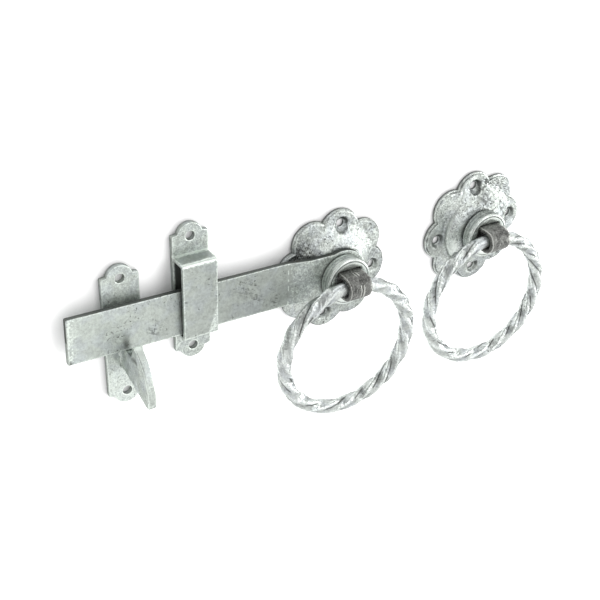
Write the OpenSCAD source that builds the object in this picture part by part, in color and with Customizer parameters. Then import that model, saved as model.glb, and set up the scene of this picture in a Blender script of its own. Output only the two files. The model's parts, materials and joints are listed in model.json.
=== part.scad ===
// Gate latch set: cranked lift bar on a lobed rose, twisted ring handles, bridge keep and hook catch.
// +Z is up, the gate face is the plane Y = 0 and the hardware stands out of it along -Y.
// The origin is the latch spindle axis on the gate face; the bar points along -X.

/* [Layout on the gate] */
// Distance from the latch spindle to the middle of the keep
keep_x = 84.3; // [70:0.1:95]
// Distance from the latch spindle to the middle of the catch
catch_x = 121.6; // [115:0.1:135]
// Distance from the latch spindle to the second handle
handle_x = 98.5; // [95:0.5:160]
// Height of the second handle above the latch spindle
handle_y = 1; // [-10:0.5:10]
// Turn of the latch rose about its axis, in degrees
latch_rose_turn = -9.6; // [-20:0.1:20]
// Turn of the handle rose about its axis, in degrees
handle_rose_turn = 5.6; // [-20:0.1:20]

/* [Rose] */
// Diameter over the lobes
rose_d = 69.2; // [66:0.1:76]
// Radius of each lobe of the outline
lobe_r = 12.5; // [11.5:0.1:13.5]
// Thickness of the lobed plate
rose_t = 3; // [2.4:0.1:4]
// Width of the lower rim round each lobe
rim_w = 1; // [0.5:0.1:1.6]
// Thickness of the lower rim
rim_t = 1.9; // [1.4:0.1:2.2]
// Height of the neck over the gate face
rose_h = 8.5; // [7.5:0.1:12]
// Radius of the foot of the bell
bell_r = 22; // [20:0.1:22.5]
// Height of the step at the foot of the bell
bell_step = 1.4; // [0.6:0.1:2]
// Radius of the neck's front face
neck_r = 14; // [13:0.1:16]
// Wall of the bell behind its foot
bell_wall = 3.2; // [2.4:0.1:4.5]
// Pitch circle of the four screw holes
screw_pcd = 53; // [52:0.1:56]
// Diameter of a rose screw hole
screw_d = 4.6; // [3.5:0.1:5.5]
// Diameter of the countersink at the surface
sink_d = 8.4; // [7:0.1:9]

/* [Hub] */
// Diameter of the collar
collar_d = 26.8; // [26:0.1:28]
// Thickness of the collar
collar_t = 7.2; // [6:0.1:9]
// Radius of the collar's rounded rim
rim_r = 1.1; // [0.5:0.1:1.5]
// Depth of the dish in the collar's face
dish_depth = 1; // [0.4:0.1:1.6]
// Diameter of the barrel that turns in the rose
barrel_d = 22; // [21.6:0.1:24]
// Diameter of the seat that carries the bar's eye
seat_d = 24.4; // [24.2:0.1:25.4]
// Depth of each of the two flats on the seat
seat_flat = 1.1; // [0.6:0.1:1.4]

/* [Latch bar] */
// Spindle axis to the end of the bar
bar_len = 152.4; // [145:0.1:170]
// Height of the bar
bar_h = 25; // [22:0.1:27]
// Thickness of the bar
bar_t = 3.2; // [2.5:0.1:4]
// Gap between the gate face and the back of the bar
bar_stand = 6.1; // [5:0.1:6.8]
// Height of the bar's middle line over the spindle axis
bar_rise = 1.8; // [0:0.1:2]
// Rise of the bar towards its free end at rest, in degrees
bar_tilt = 1.3; // [0:0.1:2]
// Spindle axis to the bend of the crank
bend_x = 31.6; // [30:0.1:45]
// Length of the crank's slope
bend_len = 13; // [8:0.5:14]
// Diameter of the eye
eye_d = 30.6; // [30:0.1:34]

/* [Plates of keep and catch] */
// Width of both plates
plate_w = 19.5; // [15:0.5:24]
// Thickness of both plates
plate_t = 3; // [2.4:0.1:4]
// Diameter of a screw hole
ear_hole_d = 4.8; // [3.5:0.1:5.5]
// Radius of the rounded ear
ear_r = 6.9; // [6:0.1:7.4]
// Middle of the hole to the shoulder beside the ear
shoulder = 1.6; // [0.5:0.1:3]

/* [Keep] */
// Width of the bridge over the bar
keep_w = 19; // [14:0.5:24]
// Thickness of the bridge
keep_t = 1.8; // [1.4:0.1:2.2]
// Gate face to the front of the bridge
keep_proj = 12.8; // [12.3:0.1:16]
// Clear height inside the bridge
keep_room = 39.2; // [36:0.1:44]
// Radius of the bridge's bends
keep_bend = 2.4; // [2:0.1:3]
// Width of the tenons through the plate
keep_tenon_w = 10; // [6:0.5:14]
// Top of the bridge to the middle of a screw hole
keep_hole_off = 9.8; // [9:0.1:14]

/* [Catch] */
// Distance between the catch's screw holes
catch_pitch = 64.2; // [60:0.1:74]
// Height of the catch's middle over the notch
catch_mid = 4.7; // [2:0.1:8]
// Thickness of the hook
hook_t = 4; // [3:0.1:6]
// Gate face to the nose of the hook
hook_reach = 33.5; // [31:0.1:38]
// Gate face to the lip of the hook
hook_lip = 18.8; // [17.5:0.1:21]
// Height of the lip over the notch
lip_h = 7.6; // [5:0.1:8.5]
// Radius of the nose
nose_r = 2.6; // [1.5:0.1:3.5]
// Height of the hook's root on the plate
root_h = 12.6; // [10:0.1:15]
// Drop of the nose's middle below the notch
nose_drop = 18; // [15:0.1:21]
// Height of the tenon through the plate
tenon_h = 7.5; // [5:0.1:9]

/* [Strap] */
// Width of the strap
strap_w = 14; // [12:0.1:14.4]
// Thickness of the strap
strap_t = 2.5; // [2:0.1:2.7]
// Collar face to the middle of the ring's neck
loop_stand = 4.8; // [4.7:0.1:7]
// Depth of the crease round the loop
crease = 0.4; // [0.2:0.1:0.6]
// Length of the feet that are turned over the washer
foot_len = 6.2; // [4:0.1:6.8]

/* [Ring] */
// Diameter of the ring at the middle of its bar
ring_d = 77.6; // [74:0.1:90]
// Width of the square bar across its flats
ring_bar = 7.5; // [6.5:0.1:7.6]
// Diameter of the round neck inside the strap
neck_bar_d = 7; // [6.6:0.1:7.4]
// Turns of twist round the ring, from neck end to neck end
ring_turns = 4; // [3:0.25:8]
// Angle at which the twist starts, in degrees
ring_phase = 60; // [0:5:90]
// Swing of the latch ring towards the gate as it hangs, in degrees
latch_lean = 2.5; // [0:0.1:5]
// Swing of the handle ring towards the gate as it hangs, in degrees
handle_lean = 0.6; // [0:0.1:5]
// Slant of a hanging ring to the left, in degrees
ring_slant = 2.4; // [0:0.1:2.6]
// Turn of a hanging ring's left side towards the gate, in degrees
ring_veer = 2.7; // [0:0.1:2.8]

/* [Spindle] */
// Width of the square spindle
spindle_w = 8; // [7:0.1:8.2]
// Length of the spindle behind the rose
spindle_len = 60; // [40:1:120]
// Diameter of the rivet through strap and spindle
rivet_d = 4; // [3:0.1:5]

/* [Fits] */
// Radial gap between barrel and rose
run_gap = 0.05; // [0.02:0.01:0.1]
// Gap between faces that turn past each other
face_gap = 0.2; // [0.1:0.05:0.4]
// Gap round the pieces that stay fixed together
seat_gap = 0.1; // [0.05:0.01:0.2]
// Radial gap between the ring's neck and the strap
loop_gap = 0.8; // [0.7:0.05:1]
// Gap under the bar where it rests
rest_gap = 0.1; // [0.05:0.05:0.3]
// Thickness of the washer behind the rose
washer_t = 1.5; // [1:0.1:2]
// Diameter of the washer behind the rose
washer_d = 28.4; // [26:0.1:32]

/* [Hidden] */
$fn = 72;
past = 1;                                     // how far a cut runs past a face
lobe_count = 8;                               // lobes round a rose, every second one drilled
galvanised = "#b9c0bd";
cast_zinc = "#c9cdcf";
bare_steel = "#6a655f";

// Heights of the spindle stack over the gate face
hollow_z = seat_gap + strap_t + washer_t + face_gap;   // roof of the hollow behind the bell
washer_z = seat_gap + strap_t;                         // back of the washer
barrel_z = washer_z + washer_t;                        // back end of the barrel
neck_z = rose_h + face_gap;                            // back of what stands on the neck
loop_r = neck_bar_d / 2 + loop_gap;                    // inside of the strap's loop
slot_w = strap_w + 2 * (seat_gap + face_gap);
slot_h = 2 * (loop_r + strap_t + seat_gap);
seat_half = seat_d / 2 - seat_flat;                    // axis to a flat of the seat

// Underside and top of the bar at a distance x from the spindle
function bar_low(x) = bar_rise + x * tan(bar_tilt) - bar_h / 2 / cos(bar_tilt);
keep_floor = bar_low(keep_x - keep_w / 2) - rest_gap;
keep_mid = keep_floor + keep_room / 2;
notch_y = bar_low(catch_x - hook_t / 2) - 3 * rest_gap;
catch_y = notch_y + catch_mid;

// Points of an arc about c from angle a to angle b
function arc(c, r, a, b, n = 8) = [for (i = [0 : n]) c + r * [cos(a + (b - a) * i / n), sin(a + (b - a) * i / n)]];

// Draws a piece as seen from the front: x to the right, y up, z out of the gate
module on_gate(x = 0, y = 0) { translate([x, 0, y]) rotate([90, 0, 0]) children(); }

// Extrudes a side view, drawn as [out, up], across the width w
module side_view(w) { rotate([0, -90, 0]) linear_extrude(w, center = true) children(); }

// Rose: lobed plate with a hollow bell, bored for the barrel
module lobes(r) {
    circle(r = bell_r);
    for (i = [1 : lobe_count]) rotate(i * 360 / lobe_count) translate([rose_d / 2 - lobe_r, 0]) circle(r);
}
module bell() {
    side = [for (i = [0 : 8]) [neck_r + (bell_r - neck_r) * cos(i * 90 / 8),
        rose_t + bell_step + (rose_h - rose_t - bell_step) * sin(i * 90 / 8)]];
    rotate_extrude() polygon(concat([[0, 0], [bell_r + bell_step, 0], [bell_r + bell_step, rose_t]],
        arc([bell_r + bell_step, rose_t + bell_step], bell_step, 270, 180, 4), side, [[0, rose_h]]));
}
module screw_hole() {
    translate([0, 0, -past]) cylinder(d = screw_d, h = rose_t + 2 * past);
    translate([0, 0, rose_t - (sink_d - screw_d) / 2])
        cylinder(r1 = screw_d / 2, r2 = sink_d / 2 + past, h = (sink_d - screw_d) / 2 + past);
}
module rose(turn) {
    color(cast_zinc) rotate(turn) difference() {
        union() {
            linear_extrude(rim_t) lobes(lobe_r);
            linear_extrude(rose_t) lobes(lobe_r - rim_w);
            bell();
        }
        translate([0, 0, -past]) cylinder(r = bell_r - bell_wall, h = hollow_z + past);
        translate([0, 0, -past]) cylinder(r = barrel_d / 2 + run_gap, h = rose_h + 2 * past);
        for (i = [1 : lobe_count / 2]) rotate(i * 720 / lobe_count)
            translate([screw_pcd / 2, 0, 0]) screw_hole();
    }
}

// Hub: collar, seat for an eye of thickness seat_t, and barrel, slotted for the strap
module hub(seat_t) {
    back = neck_z + seat_t;
    front = back + collar_t;
    color(cast_zinc) difference() {
        union() {
            translate([0, 0, back]) rotate_extrude() polygon(concat([[0, 0], [collar_d / 2, 0]],
                arc([collar_d / 2 - rim_r, collar_t - rim_r], rim_r, 0, 90),
                [[collar_d / 2 - 2 * rim_r, collar_t], [slot_h / 2, collar_t - dish_depth],
                [0, collar_t - dish_depth]]));
            translate([0, 0, barrel_z]) cylinder(d = barrel_d, h = back - barrel_z);
            if (seat_t > 0) translate([0, 0, neck_z]) linear_extrude(seat_t) seat(0);
        }
        translate([-slot_w / 2, -slot_h / 2, barrel_z - past]) cube([slot_w, slot_h, front]);
    }
}
module seat(gap) {
    intersection() {
        circle(r = seat_d / 2 + gap);
        square([seat_d + 2, 2 * (seat_half + gap)], center = true);
    }
}

// Washer that holds the hub in the rose
module washer() {
    color(bare_steel) translate([0, 0, washer_z]) linear_extrude(washer_t) difference() {
        circle(d = washer_d);
        square([slot_w, slot_h], center = true);
    }
}

// Strap: looped over the ring's neck, legs through the hub, feet turned over the washer
module strap(face, pinned) {
    reach = face + loop_stand;
    outer = loop_r + strap_t;
    color(bare_steel) difference() {
        side_view(strap_w) {
            translate([reach, 0]) difference() {
                circle(outer);
                circle(loop_r);
                translate([-2 * outer, -outer]) square(2 * outer);
            }
            for (s = [-1, 1]) scale([1, s]) {
                translate([seat_gap, loop_r]) square([reach - seat_gap, strap_t]);
                translate([seat_gap, loop_r]) square([strap_t, foot_len]);
            }
        }
        translate([0, 0, reach]) rotate([0, 90, 0]) rotate_extrude()
            polygon([[outer - crease, 0], [outer + past, -crease - past], [outer + past, crease + past]]);
        if (pinned) rivet_hole();
    }
}

// Ring: rounded square bar, twisted and bent to a circle, left round where the strap holds it
ring_r = ring_d / 2;
neck_drop = (ring_r - sqrt(ring_r ^ 2 - strap_w ^ 2 / 4)) / 2;   // evens out the bend in the strap
neck_end = asin((strap_w / 2 + 2) / ring_r);           // where the round neck ends
twist_start = asin((strap_w / 2 + 9) / ring_r);        // where the bar is fully square
stations = 120;
sides = 16;
squareness = 4.5;                                      // exponent of the rounded square

function square_r(a) = ring_bar / 2 / (abs(cos(a)) ^ squareness + abs(sin(a)) ^ squareness) ^ (1 / squareness);
function ease(t) = let (u = max(0, min(1, t))) u * u * (3 - 2 * u);
function blend(p) = ease((min(p, 360 - p) - neck_end) / (twist_start - neck_end));
function twist(p) = ring_phase - 360 * ring_turns * max(0, min(1, (p - neck_end) / (360 - 2 * neck_end)));
function ring_point(p, a) =
    let (r = neck_bar_d / 2 * (1 - blend(p)) + square_r(a - twist(p)) * blend(p), q = ring_r + r * cos(a))
    [q * sin(p), q * cos(p) - ring_r + neck_drop, r * sin(a)];

module ring(face, lean) {
    points = [for (i = [0 : stations - 1], k = [0 : sides - 1])
        ring_point(i * 360 / stations, k * 360 / sides)];
    faces = [for (i = [0 : stations - 1], k = [0 : sides - 1])
        let (j = (i + 1) % stations, m = (k + 1) % sides)
        [i * sides + k, j * sides + k, j * sides + m, i * sides + m]];
    color(cast_zinc) translate([0, 0, face + loop_stand]) rotate([0, -ring_veer, 0])
        rotate([lean, 0, 0]) rotate(-ring_slant) polyhedron(points, faces, convexity = 4);
}

// Spindle of the second handle and the rivet that holds it between the strap's legs
rivet_z = (barrel_z + neck_z + collar_t) / 2;
spindle_top = rivet_z + rivet_d / 2 + 2;
module rivet_hole() {
    translate([0, 0, rivet_z]) rotate([90, 0, 0])
        cylinder(d = rivet_d + seat_gap, h = slot_h + 2 * past, center = true);
}
module pointed_bar() {
    polygon([[-spindle_len, 1 - spindle_w / 2], [1 - spindle_len, -spindle_w / 2],
        [spindle_top, -spindle_w / 2], [spindle_top, spindle_w / 2],
        [1 - spindle_len, spindle_w / 2], [-spindle_len, spindle_w / 2 - 1]]);
}
module spindle() {
    color(bare_steel) difference() {
        intersection() {
            side_view(spindle_w) pointed_bar();
            rotate(90) side_view(spindle_w) pointed_bar();
        }
        rivet_hole();
    }
}
module rivet() {
    color(bare_steel) translate([0, 0, rivet_z]) rotate([90, 0, 0])
        cylinder(d = rivet_d, h = 2 * (loop_r + strap_t), center = true);
}

// Bar: flat strip, cranked out to an eye in front of the rose
module bar_front() {
    difference() {
        union() {
            rotate(-bar_tilt) translate([-bar_len, bar_rise - bar_h / 2]) square([bar_len, bar_h]);
            circle(d = eye_d);
        }
        seat(seat_gap / 2);
    }
}
module bar_plan() {
    slope_end = bend_x - bend_len;
    polygon([[-bar_len - past, bar_stand], [-bend_x, bar_stand], [-slope_end, neck_z],
        [eye_d, neck_z], [eye_d, neck_z + bar_t], [-slope_end, neck_z + bar_t],
        [-bend_x, bar_stand + bar_t], [-bar_len - past, bar_stand + bar_t]]);
}
module bar() {
    color(galvanised) intersection() {
        linear_extrude(neck_z + bar_t + past) bar_front();
        rotate([90, 0, 0]) linear_extrude(2 * eye_d, center = true) bar_plan();
    }
}

// Ear with a shouldered round end, drawn upwards from y = 0 with its hole at y = hole_y
module ear(w, hole_y) {
    translate([-w / 2, 0]) square([w, hole_y + shoulder]);
    translate([0, hole_y]) circle(ear_r);
}

// Plate with an ear above and below, the screw holes a pitch apart
module eared_plate(pitch) {
    color(galvanised) difference() {
        linear_extrude(plate_t) for (s = [-1, 1]) scale([1, s]) ear(plate_w, pitch / 2);
        for (s = [-1, 1]) translate([0, s * pitch / 2, -past])
            cylinder(d = ear_hole_d, h = plate_t + 2 * past);
        translate([0, 0, -past]) linear_extrude(plate_t + 2 * past) children();
    }
}

// Keep: eared plate with a bridge over the bar, its legs tenoned through the plate
leg_off = (keep_room + keep_t) / 2;                    // middle of the keep to the middle of a leg
module keep_plate() {
    eared_plate(2 * (leg_off + keep_t / 2 + keep_hole_off))
        for (s = [-1, 1]) translate([0, s * leg_off])
            square([keep_tenon_w, keep_t] + seat_gap * [1, 1], center = true);
}
module bridge_corner() {
    translate([keep_proj, leg_off + keep_t / 2]) difference() {
        translate([-keep_bend, -keep_bend]) square(keep_bend + past);
        translate([-keep_bend, -keep_bend]) circle(keep_bend);
    }
}
module keep_bridge() {
    color(galvanised) {
        side_view(keep_w) difference() {
            translate([plate_t, -leg_off - keep_t / 2])
                square([keep_proj - plate_t, keep_room + 2 * keep_t]);
            translate([0, -keep_room / 2]) square([keep_proj - keep_t, keep_room]);
            for (s = [-1, 1]) scale([1, s]) bridge_corner();
        }
        side_view(keep_tenon_w) for (s = [-1, 1])
            translate([seat_gap, s * leg_off - keep_t / 2]) square([plate_t, keep_t]);
    }
}

// Catch: eared plate with a hook on a tenon
tenon_y = -(root_h + tenon_h) / 2;                     // foot of the tenon below the notch
module catch_plate() {
    eared_plate(catch_pitch) translate([-hook_t / 2, tenon_y - catch_mid] - seat_gap / 2 * [1, 1])
        square([hook_t, tenon_h] + seat_gap * [1, 1]);
}
lip_r = 1.25;                                          // rounding of the lip
notch_r = 1.5;                                         // rounding in the notch
ramp_bulge = 0.16;                                     // rise of the ramp's curve over its chord
module hook_side() {
    nose = [hook_reach - nose_r, -nose_drop];
    lip = [hook_lip, lip_h - lip_r];
    span = norm(lip - nose);
    rise = span * ramp_bulge;
    ramp_r = (span ^ 2 / 4 + rise ^ 2) / 2 / rise;
    away = [lip.y - nose.y, nose.x - lip.x] / span;
    middle = (lip + nose) / 2 - away * (ramp_r - rise);
    from = atan2(nose.y - middle.y, nose.x - middle.x);
    to = atan2(lip.y - middle.y, lip.x - middle.x);
    ramp = [for (i = [1 : 11]) let (t = i / 12, a = from + (to - from) * t)
        middle + (ramp_r + nose_r + (lip_r - nose_r) * t) * [cos(a), sin(a)]];
    polygon(concat(
        arc(nose, nose_r, -106, from), ramp, arc(lip, lip_r, to, 170),
        arc([hook_lip - 5, notch_r], notch_r, -20, -90, 5),
        [[plate_t, 0], [plate_t, -root_h]]));
    translate([seat_gap, tenon_y]) square([plate_t, tenon_h]);
}
module catch_hook() {
    color(galvanised) side_view(hook_t) hook_side();
}

collar_face = neck_z + collar_t;
latch_face = collar_face + bar_t;

on_gate() rose(latch_rose_turn);  // latch_rose
on_gate() hub(bar_t);  // latch_hub
on_gate() bar();  // latch_bar
on_gate() strap(latch_face, false);  // latch_strap
on_gate() washer();  // latch_washer
on_gate() ring(latch_face, latch_lean);  // latch_ring
on_gate(handle_x, handle_y) rose(handle_rose_turn);  // handle_rose
on_gate(handle_x, handle_y) hub(0);  // handle_hub
on_gate(handle_x, handle_y) strap(collar_face, true);  // handle_strap
on_gate(handle_x, handle_y) washer();  // handle_washer
on_gate(handle_x, handle_y) spindle();  // handle_spindle
on_gate(handle_x, handle_y) rivet();  // spindle_rivet
on_gate(handle_x, handle_y) ring(collar_face, handle_lean);  // handle_ring
on_gate(-keep_x, keep_mid) keep_plate();
on_gate(-keep_x, keep_mid) keep_bridge();
on_gate(-catch_x, catch_y) catch_plate();
on_gate(-catch_x, notch_y) catch_hook();
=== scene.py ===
"""Galvanised ring gate latch: lift bar on a lobed rose, two twisted ring handles, keep and hook catch.

Shapes are worked out in millimetres as seen from the front: x to the right, y up, z out of the gate.
Each piece's surface is its points, its faces and its wear and painted light at each point: up to
about 1 where wear has made it bright and where a highlight is painted, and below 0 where it is
dirty and where shade is painted.
"""

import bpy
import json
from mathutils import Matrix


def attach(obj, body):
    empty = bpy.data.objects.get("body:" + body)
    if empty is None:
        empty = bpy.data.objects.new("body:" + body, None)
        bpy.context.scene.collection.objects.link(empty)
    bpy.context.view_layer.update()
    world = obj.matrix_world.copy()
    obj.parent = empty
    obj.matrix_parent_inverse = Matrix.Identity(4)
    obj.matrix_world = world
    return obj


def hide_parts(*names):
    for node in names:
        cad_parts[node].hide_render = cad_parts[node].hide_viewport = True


bl_info = {
    "name": "Ring Gate Latch",
    "version": (1, 0, 0),
    "blender": (4, 5, 0),
    "location": "View3D > Sidebar > Gate Latch",
    "description": "Dresses the packed ring gate latch with its cast, forged and galvanised pieces",
    "category": "Object",
}

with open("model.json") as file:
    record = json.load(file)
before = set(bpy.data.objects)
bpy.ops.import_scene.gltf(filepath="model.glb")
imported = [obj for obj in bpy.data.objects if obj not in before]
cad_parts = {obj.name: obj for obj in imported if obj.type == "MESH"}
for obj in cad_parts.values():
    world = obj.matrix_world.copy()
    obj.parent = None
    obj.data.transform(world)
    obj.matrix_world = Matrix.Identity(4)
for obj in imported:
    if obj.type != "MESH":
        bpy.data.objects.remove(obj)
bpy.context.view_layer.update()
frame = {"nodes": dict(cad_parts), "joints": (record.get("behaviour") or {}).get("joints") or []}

import json
import math

import bmesh
import bpy
import numpy as np
from bpy.props import FloatProperty, FloatVectorProperty, PointerProperty
from mathutils import Matrix

MM = 1000.0                        # millimetres in a metre
TURN = 2 * np.pi
FIT = 0.1                          # gap round a tenon, and from the gate's face to a foot or a tenon's end


def joint_at(name):
    """Where a joint's axis meets the gate, in front-view millimetres."""
    x, _, z = next(j["pos_m"] for j in frame["joints"] if j["name"] == name)
    return x * MM, z * MM


HANDLE_AT = joint_at("handle_turn")
LATCH_AT = joint_at("latch_lift")


# Sizes and colours that a user would change

def length(name, text, mm, low, high):
    return FloatProperty(name=name, description=text, default=mm / MM, min=low / MM, max=high / MM,
                         subtype="DISTANCE", unit="LENGTH", precision=4)


def colour(name, text, value):
    return FloatVectorProperty(name=name, description=text, default=value, size=3, min=0, max=1,
                               subtype="COLOR")


def amount(name, text, value, low=0.0, high=1.0):
    return FloatProperty(name=name, description=text, default=value, min=low, max=high)


class LatchSizes(bpy.types.PropertyGroup):
    rose_d: length("Rose diameter", "Diameter over the lobes of a rose", 69.2, 60, 80)
    lobe_r: length("Lobe radius", "Radius of each lobe of a rose", 12.5, 11.5, 13.5)
    ring_d: length("Ring diameter", "Diameter of a ring at the middle of its bar", 77.6, 70, 90)
    ring_bar: length("Ring bar", "Width of the ring's square bar across its flats", 7.5, 6, 9)
    ring_turns: amount("Ring twist", "Turns of twist round a ring", 4.0, 1.0, 8.0)
    ring_phase: FloatProperty(name="Twist start", description="Angle at which the twist starts at the neck",
                              default=math.radians(60), subtype="ANGLE", unit="ROTATION")
    bar_edge: length("Bar edge", "Rounding of the lift bar's edges", 0.6, 0.2, 1.2)
    strip_edge: length("Strip edge", "Rounding of the edges of keep and catch plate", 0.35, 0.1, 0.8)
    cast_lumps: length("Casting unevenness", "How far the cast faces wander", 0.07, 0, 0.4)


class LatchColours(bpy.types.PropertyGroup):
    strip: colour("Strip", "Galvanised strip of bar, keep and catch", (0.60, 0.65, 0.605))
    casting: colour("Casting", "Galvanised casting of roses and hubs", (0.53, 0.565, 0.535))
    ring: colour("Ring", "Galvanised twisted bar of the rings", (0.63, 0.665, 0.64))
    steel: colour("Bare steel", "Bare steel of straps, washers and spindle", (0.155, 0.158, 0.149))
    backdrop: colour("Backdrop", "Face that the hardware lies against", (0.80, 0.80, 0.80))


class LatchStage(bpy.types.PropertyGroup):
    room_low: amount("Room light, upper left", "Level of the room on its dim side", 0.32, 0.0, 2.0)
    room_high: amount("Room light, lower right", "Level of the room on its bright side", 1.10, 0.0, 3.0)
    key_power: amount("Key light", "Power of the soft lamp on the right, in watts", 5.5, 0.0, 100.0)
    top_power: amount("Top light", "Power of the soft lamp high in front, in watts", 3.2, 0.0, 100.0)
    lens: amount("Lens", "Focal length of the camera on a 36 mm frame", 62.81, 20, 200)


# Surfaces as whole arrays

HOLE_REACH, HOLE_FADE = 5, 1.8     # cells from a screw hole's middle to its edge, and how far it pulls
CORNER = np.radians([25, 50, 70, 90])[:, None, None]   # angles of the rows round a corner


def quads(rows, columns, closed_rows=False, closed_columns=False):
    """Corner numbers of a grid's cells: each joins row i to i + 1 and column j to j + 1."""
    i, j = np.indices((rows - (not closed_rows), columns - (not closed_columns)))
    i2, j2 = (i + 1) % rows, (j + 1) % columns
    cells = [i * columns + j, i * columns + j2, i2 * columns + j2, i2 * columns + j]
    return np.stack(cells, -1).reshape(-1, 4)


def tube(grid, wear_and_painted_light, closed=True):
    """Surface of a grid whose columns close round, and whose rows do too where closed."""
    return grid.reshape(-1, 3), quads(*grid.shape[:2], closed, True), np.asarray(wear_and_painted_light).ravel()


def smooth(t):
    """Smooth step: 3t^2 - 2t^3 for t held between 0 and 1."""
    t = np.clip(t, 0, 1)
    return t * t * (3 - 2 * t)


def peak(off, width):
    """Bell curve of height 1: e to the power -(off / width)^2."""
    return np.exp(-(off / width) ** 2)


def spots(x, y, table):
    """Sum of round spots (x, y, size, strength), each a bell curve of the distance from its middle."""
    return sum(much * np.exp(-((x - u) ** 2 + (y - v) ** 2) / size ** 2) for u, v, size, much in table)


def unit(v):
    return v / np.maximum(np.linalg.norm(v, axis=-1, keepdims=True), 1e-12)


def toward(x, y, heading, spread):
    """1 in the direction of heading from the axis, and a smooth fall to 0 at spread degrees from it."""
    off = np.degrees(np.arctan2(y, x)) - heading
    return smooth(1.2 - 1.2 * abs((off + 180) % 360 - 180) / spread)


def lumps(p, size, seed, waves=9):
    """Uneven height from about -1 to 1: a mean of sine waves in directions drawn from the seed."""
    draw = np.random.default_rng(seed)
    run = unit(draw.normal(size=(waves, 3))) * TURN / size * draw.uniform(0.6, 1.8, (waves, 1))
    start = draw.uniform(0, TURN, waves)
    return np.sin(p @ run.T + start).sum(-1) * 1.4 / math.sqrt(waves)


def uneven(p, seed, *parts):
    """Sum of lumps, each given as (height, size), whose seeds count up from seed."""
    return sum(height * lumps(p, size, seed + i) for i, (height, size) in enumerate(parts))


def front_view(x, y, z):
    """Points as columns x, y, z of any shapes that fit together."""
    return np.stack(np.broadcast_arrays(x, y, z), -1).astype(float)


def polar(r, t, z):
    """Points at distance r and angle t round the axis, at height z."""
    return front_view(r * np.cos(t), r * np.sin(t), z)


def raised(plan, z):
    """Points of a plan (x, y) at height z."""
    return front_view(plan[..., 0], plan[..., 1], z)


def thick(front, back, edge, kept=None, closed=False, skip=None, lip=0.55, wall=-0.4):
    """Shell between two grids of the same plan. Where the kept cells end, apart from the points
    of skip, the two faces are joined round a side whose corners are quarter circles of radius edge:
    the side stands off along the outward normal by edge sin a, and drops from its face by
    edge (1 - cos a). Its corners take their wear and painted light from lip, and its wall from wall:
    painted shade below 0, and wear and painted highlight above."""
    rows, columns = front.shape[:2]
    top, low = front.reshape(-1, 3), back.reshape(-1, 3)
    n = len(top)
    face = quads(rows, columns, closed_columns=closed)
    if kept is not None:
        face = face[kept.ravel()]
    up = unit(top - low)
    turn = np.cross(top[face[:, 1]] - top[face[:, 0]], top[face[:, 2]] - top[face[:, 0]])
    if (turn * up[face[:, 0]]).sum() < 0:
        face = face[:, ::-1]
    a, b = face.ravel(), np.roll(face, -1, axis=1).ravel()
    free = ~np.isin(a * n + b, b * n + a)
    if skip is not None:
        free &= ~(skip[a] & skip[b])
    a, b = a[free], b[free]
    out = unit(np.cross(top[b] - top[a], up[a] + up[b]))
    normal = np.zeros_like(top)
    np.add.at(normal, a, out)
    np.add.at(normal, b, out)
    rim = np.unique(np.concatenate([a, b]))
    to_a, to_b = np.searchsorted(rim, a), np.searchsorted(rim, b)
    normal, rise = unit(normal[rim]), up[rim]
    bend = CORNER if edge else CORNER[:0]
    off, drop = edge * np.sin(bend), edge * (1 - np.cos(bend))
    sides = np.concatenate([top[rim] + normal * off - rise * drop,
                            (low[rim] + normal * off + rise * drop)[::-1]])
    points = np.concatenate([top, low, sides.reshape(-1, 3)])
    level = [rim, *(2 * n + k * len(rim) + np.arange(len(rim)) for k in range(len(sides))), rim + n]
    walls = [np.stack([u[to_b], u[to_a], v[to_a], v[to_b]], -1) for u, v in zip(level[:-1], level[1:])]
    wear_and_painted_light = np.zeros(len(points))
    ring = [lip, lip * 0.6, wall, wall] if edge else []
    wear_and_painted_light[2 * n:] = np.repeat(ring + ring[::-1], len(rim))
    wear_and_painted_light[rim] = wear_and_painted_light[rim + n] = lip * 0.7
    return points, np.concatenate([face, face[:, ::-1] + n, *walls]), wear_and_painted_light


def drilled(plan, kept, row, column, size):
    """Plan moved so that the ring of grid points HOLE_REACH cells from (row, column) becomes a hole
    of radius size, whose cells are no longer kept. A point at ring number c, in units of the reach,
    moves along its own direction to c times the radius, and the move fades out at HOLE_FADE."""
    rows, columns = plan.shape[:2]
    i, j = np.indices((rows, columns))
    wide = (j - column + columns // 2) % columns - columns // 2
    c = np.maximum(abs(i - row), abs(wide)) / HOLE_REACH
    off = plan - plan[row, column]
    far = np.linalg.norm(off, axis=-1)
    aim = unit(off) * (far + (1 - smooth((c - 1) / (HOLE_FADE - 1))) * (c * size - far))[..., None]
    cells = np.arange(-HOLE_REACH, HOLE_REACH)
    kept[np.ix_(row + cells, (column + cells) % kept.shape[1])] = False
    return np.where((c < HOLE_FADE)[..., None], plan[row, column] + aim, plan)


def route(start, heading, runs, step=0.02):
    """Path whose heading changes evenly with distance along each run (length, turn in degrees):
    the position is the running sum of the heading's cosine and sine. Gives a function from
    distance to position and normal, and the distances at which the runs end."""
    far = np.concatenate([[0], np.cumsum([r[0] for r in runs])])
    head = np.radians(heading + np.concatenate([[0], np.cumsum([r[1] for r in runs])]))
    s = np.linspace(0, far[-1], int(far[-1] / step) + 1)
    h = np.interp(s, far, head)
    mid = (h[1:] + h[:-1]) / 2
    gap = np.diff(s)
    u = start[0] + np.concatenate([[0], np.cumsum(np.cos(mid) * gap)])
    v = start[1] + np.concatenate([[0], np.cumsum(np.sin(mid) * gap)])

    def at(q):
        t = np.interp(q, s, h)
        return np.interp(q, s, u), np.interp(q, s, v), -np.sin(t), np.cos(t)

    return at, far


def rounded_rect(t, half_x, half_y, power):
    """Distance from the middle to a rounded rectangle at angle t: a superellipse of that power."""
    return (abs(np.cos(t) / half_x) ** power + abs(np.sin(t) / half_y) ** power) ** (-1 / power)


def linked(name, data):
    """New object of the scene."""
    thing = bpy.data.objects.new(name, data)
    bpy.context.scene.collection.objects.link(thing)
    return thing


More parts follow.
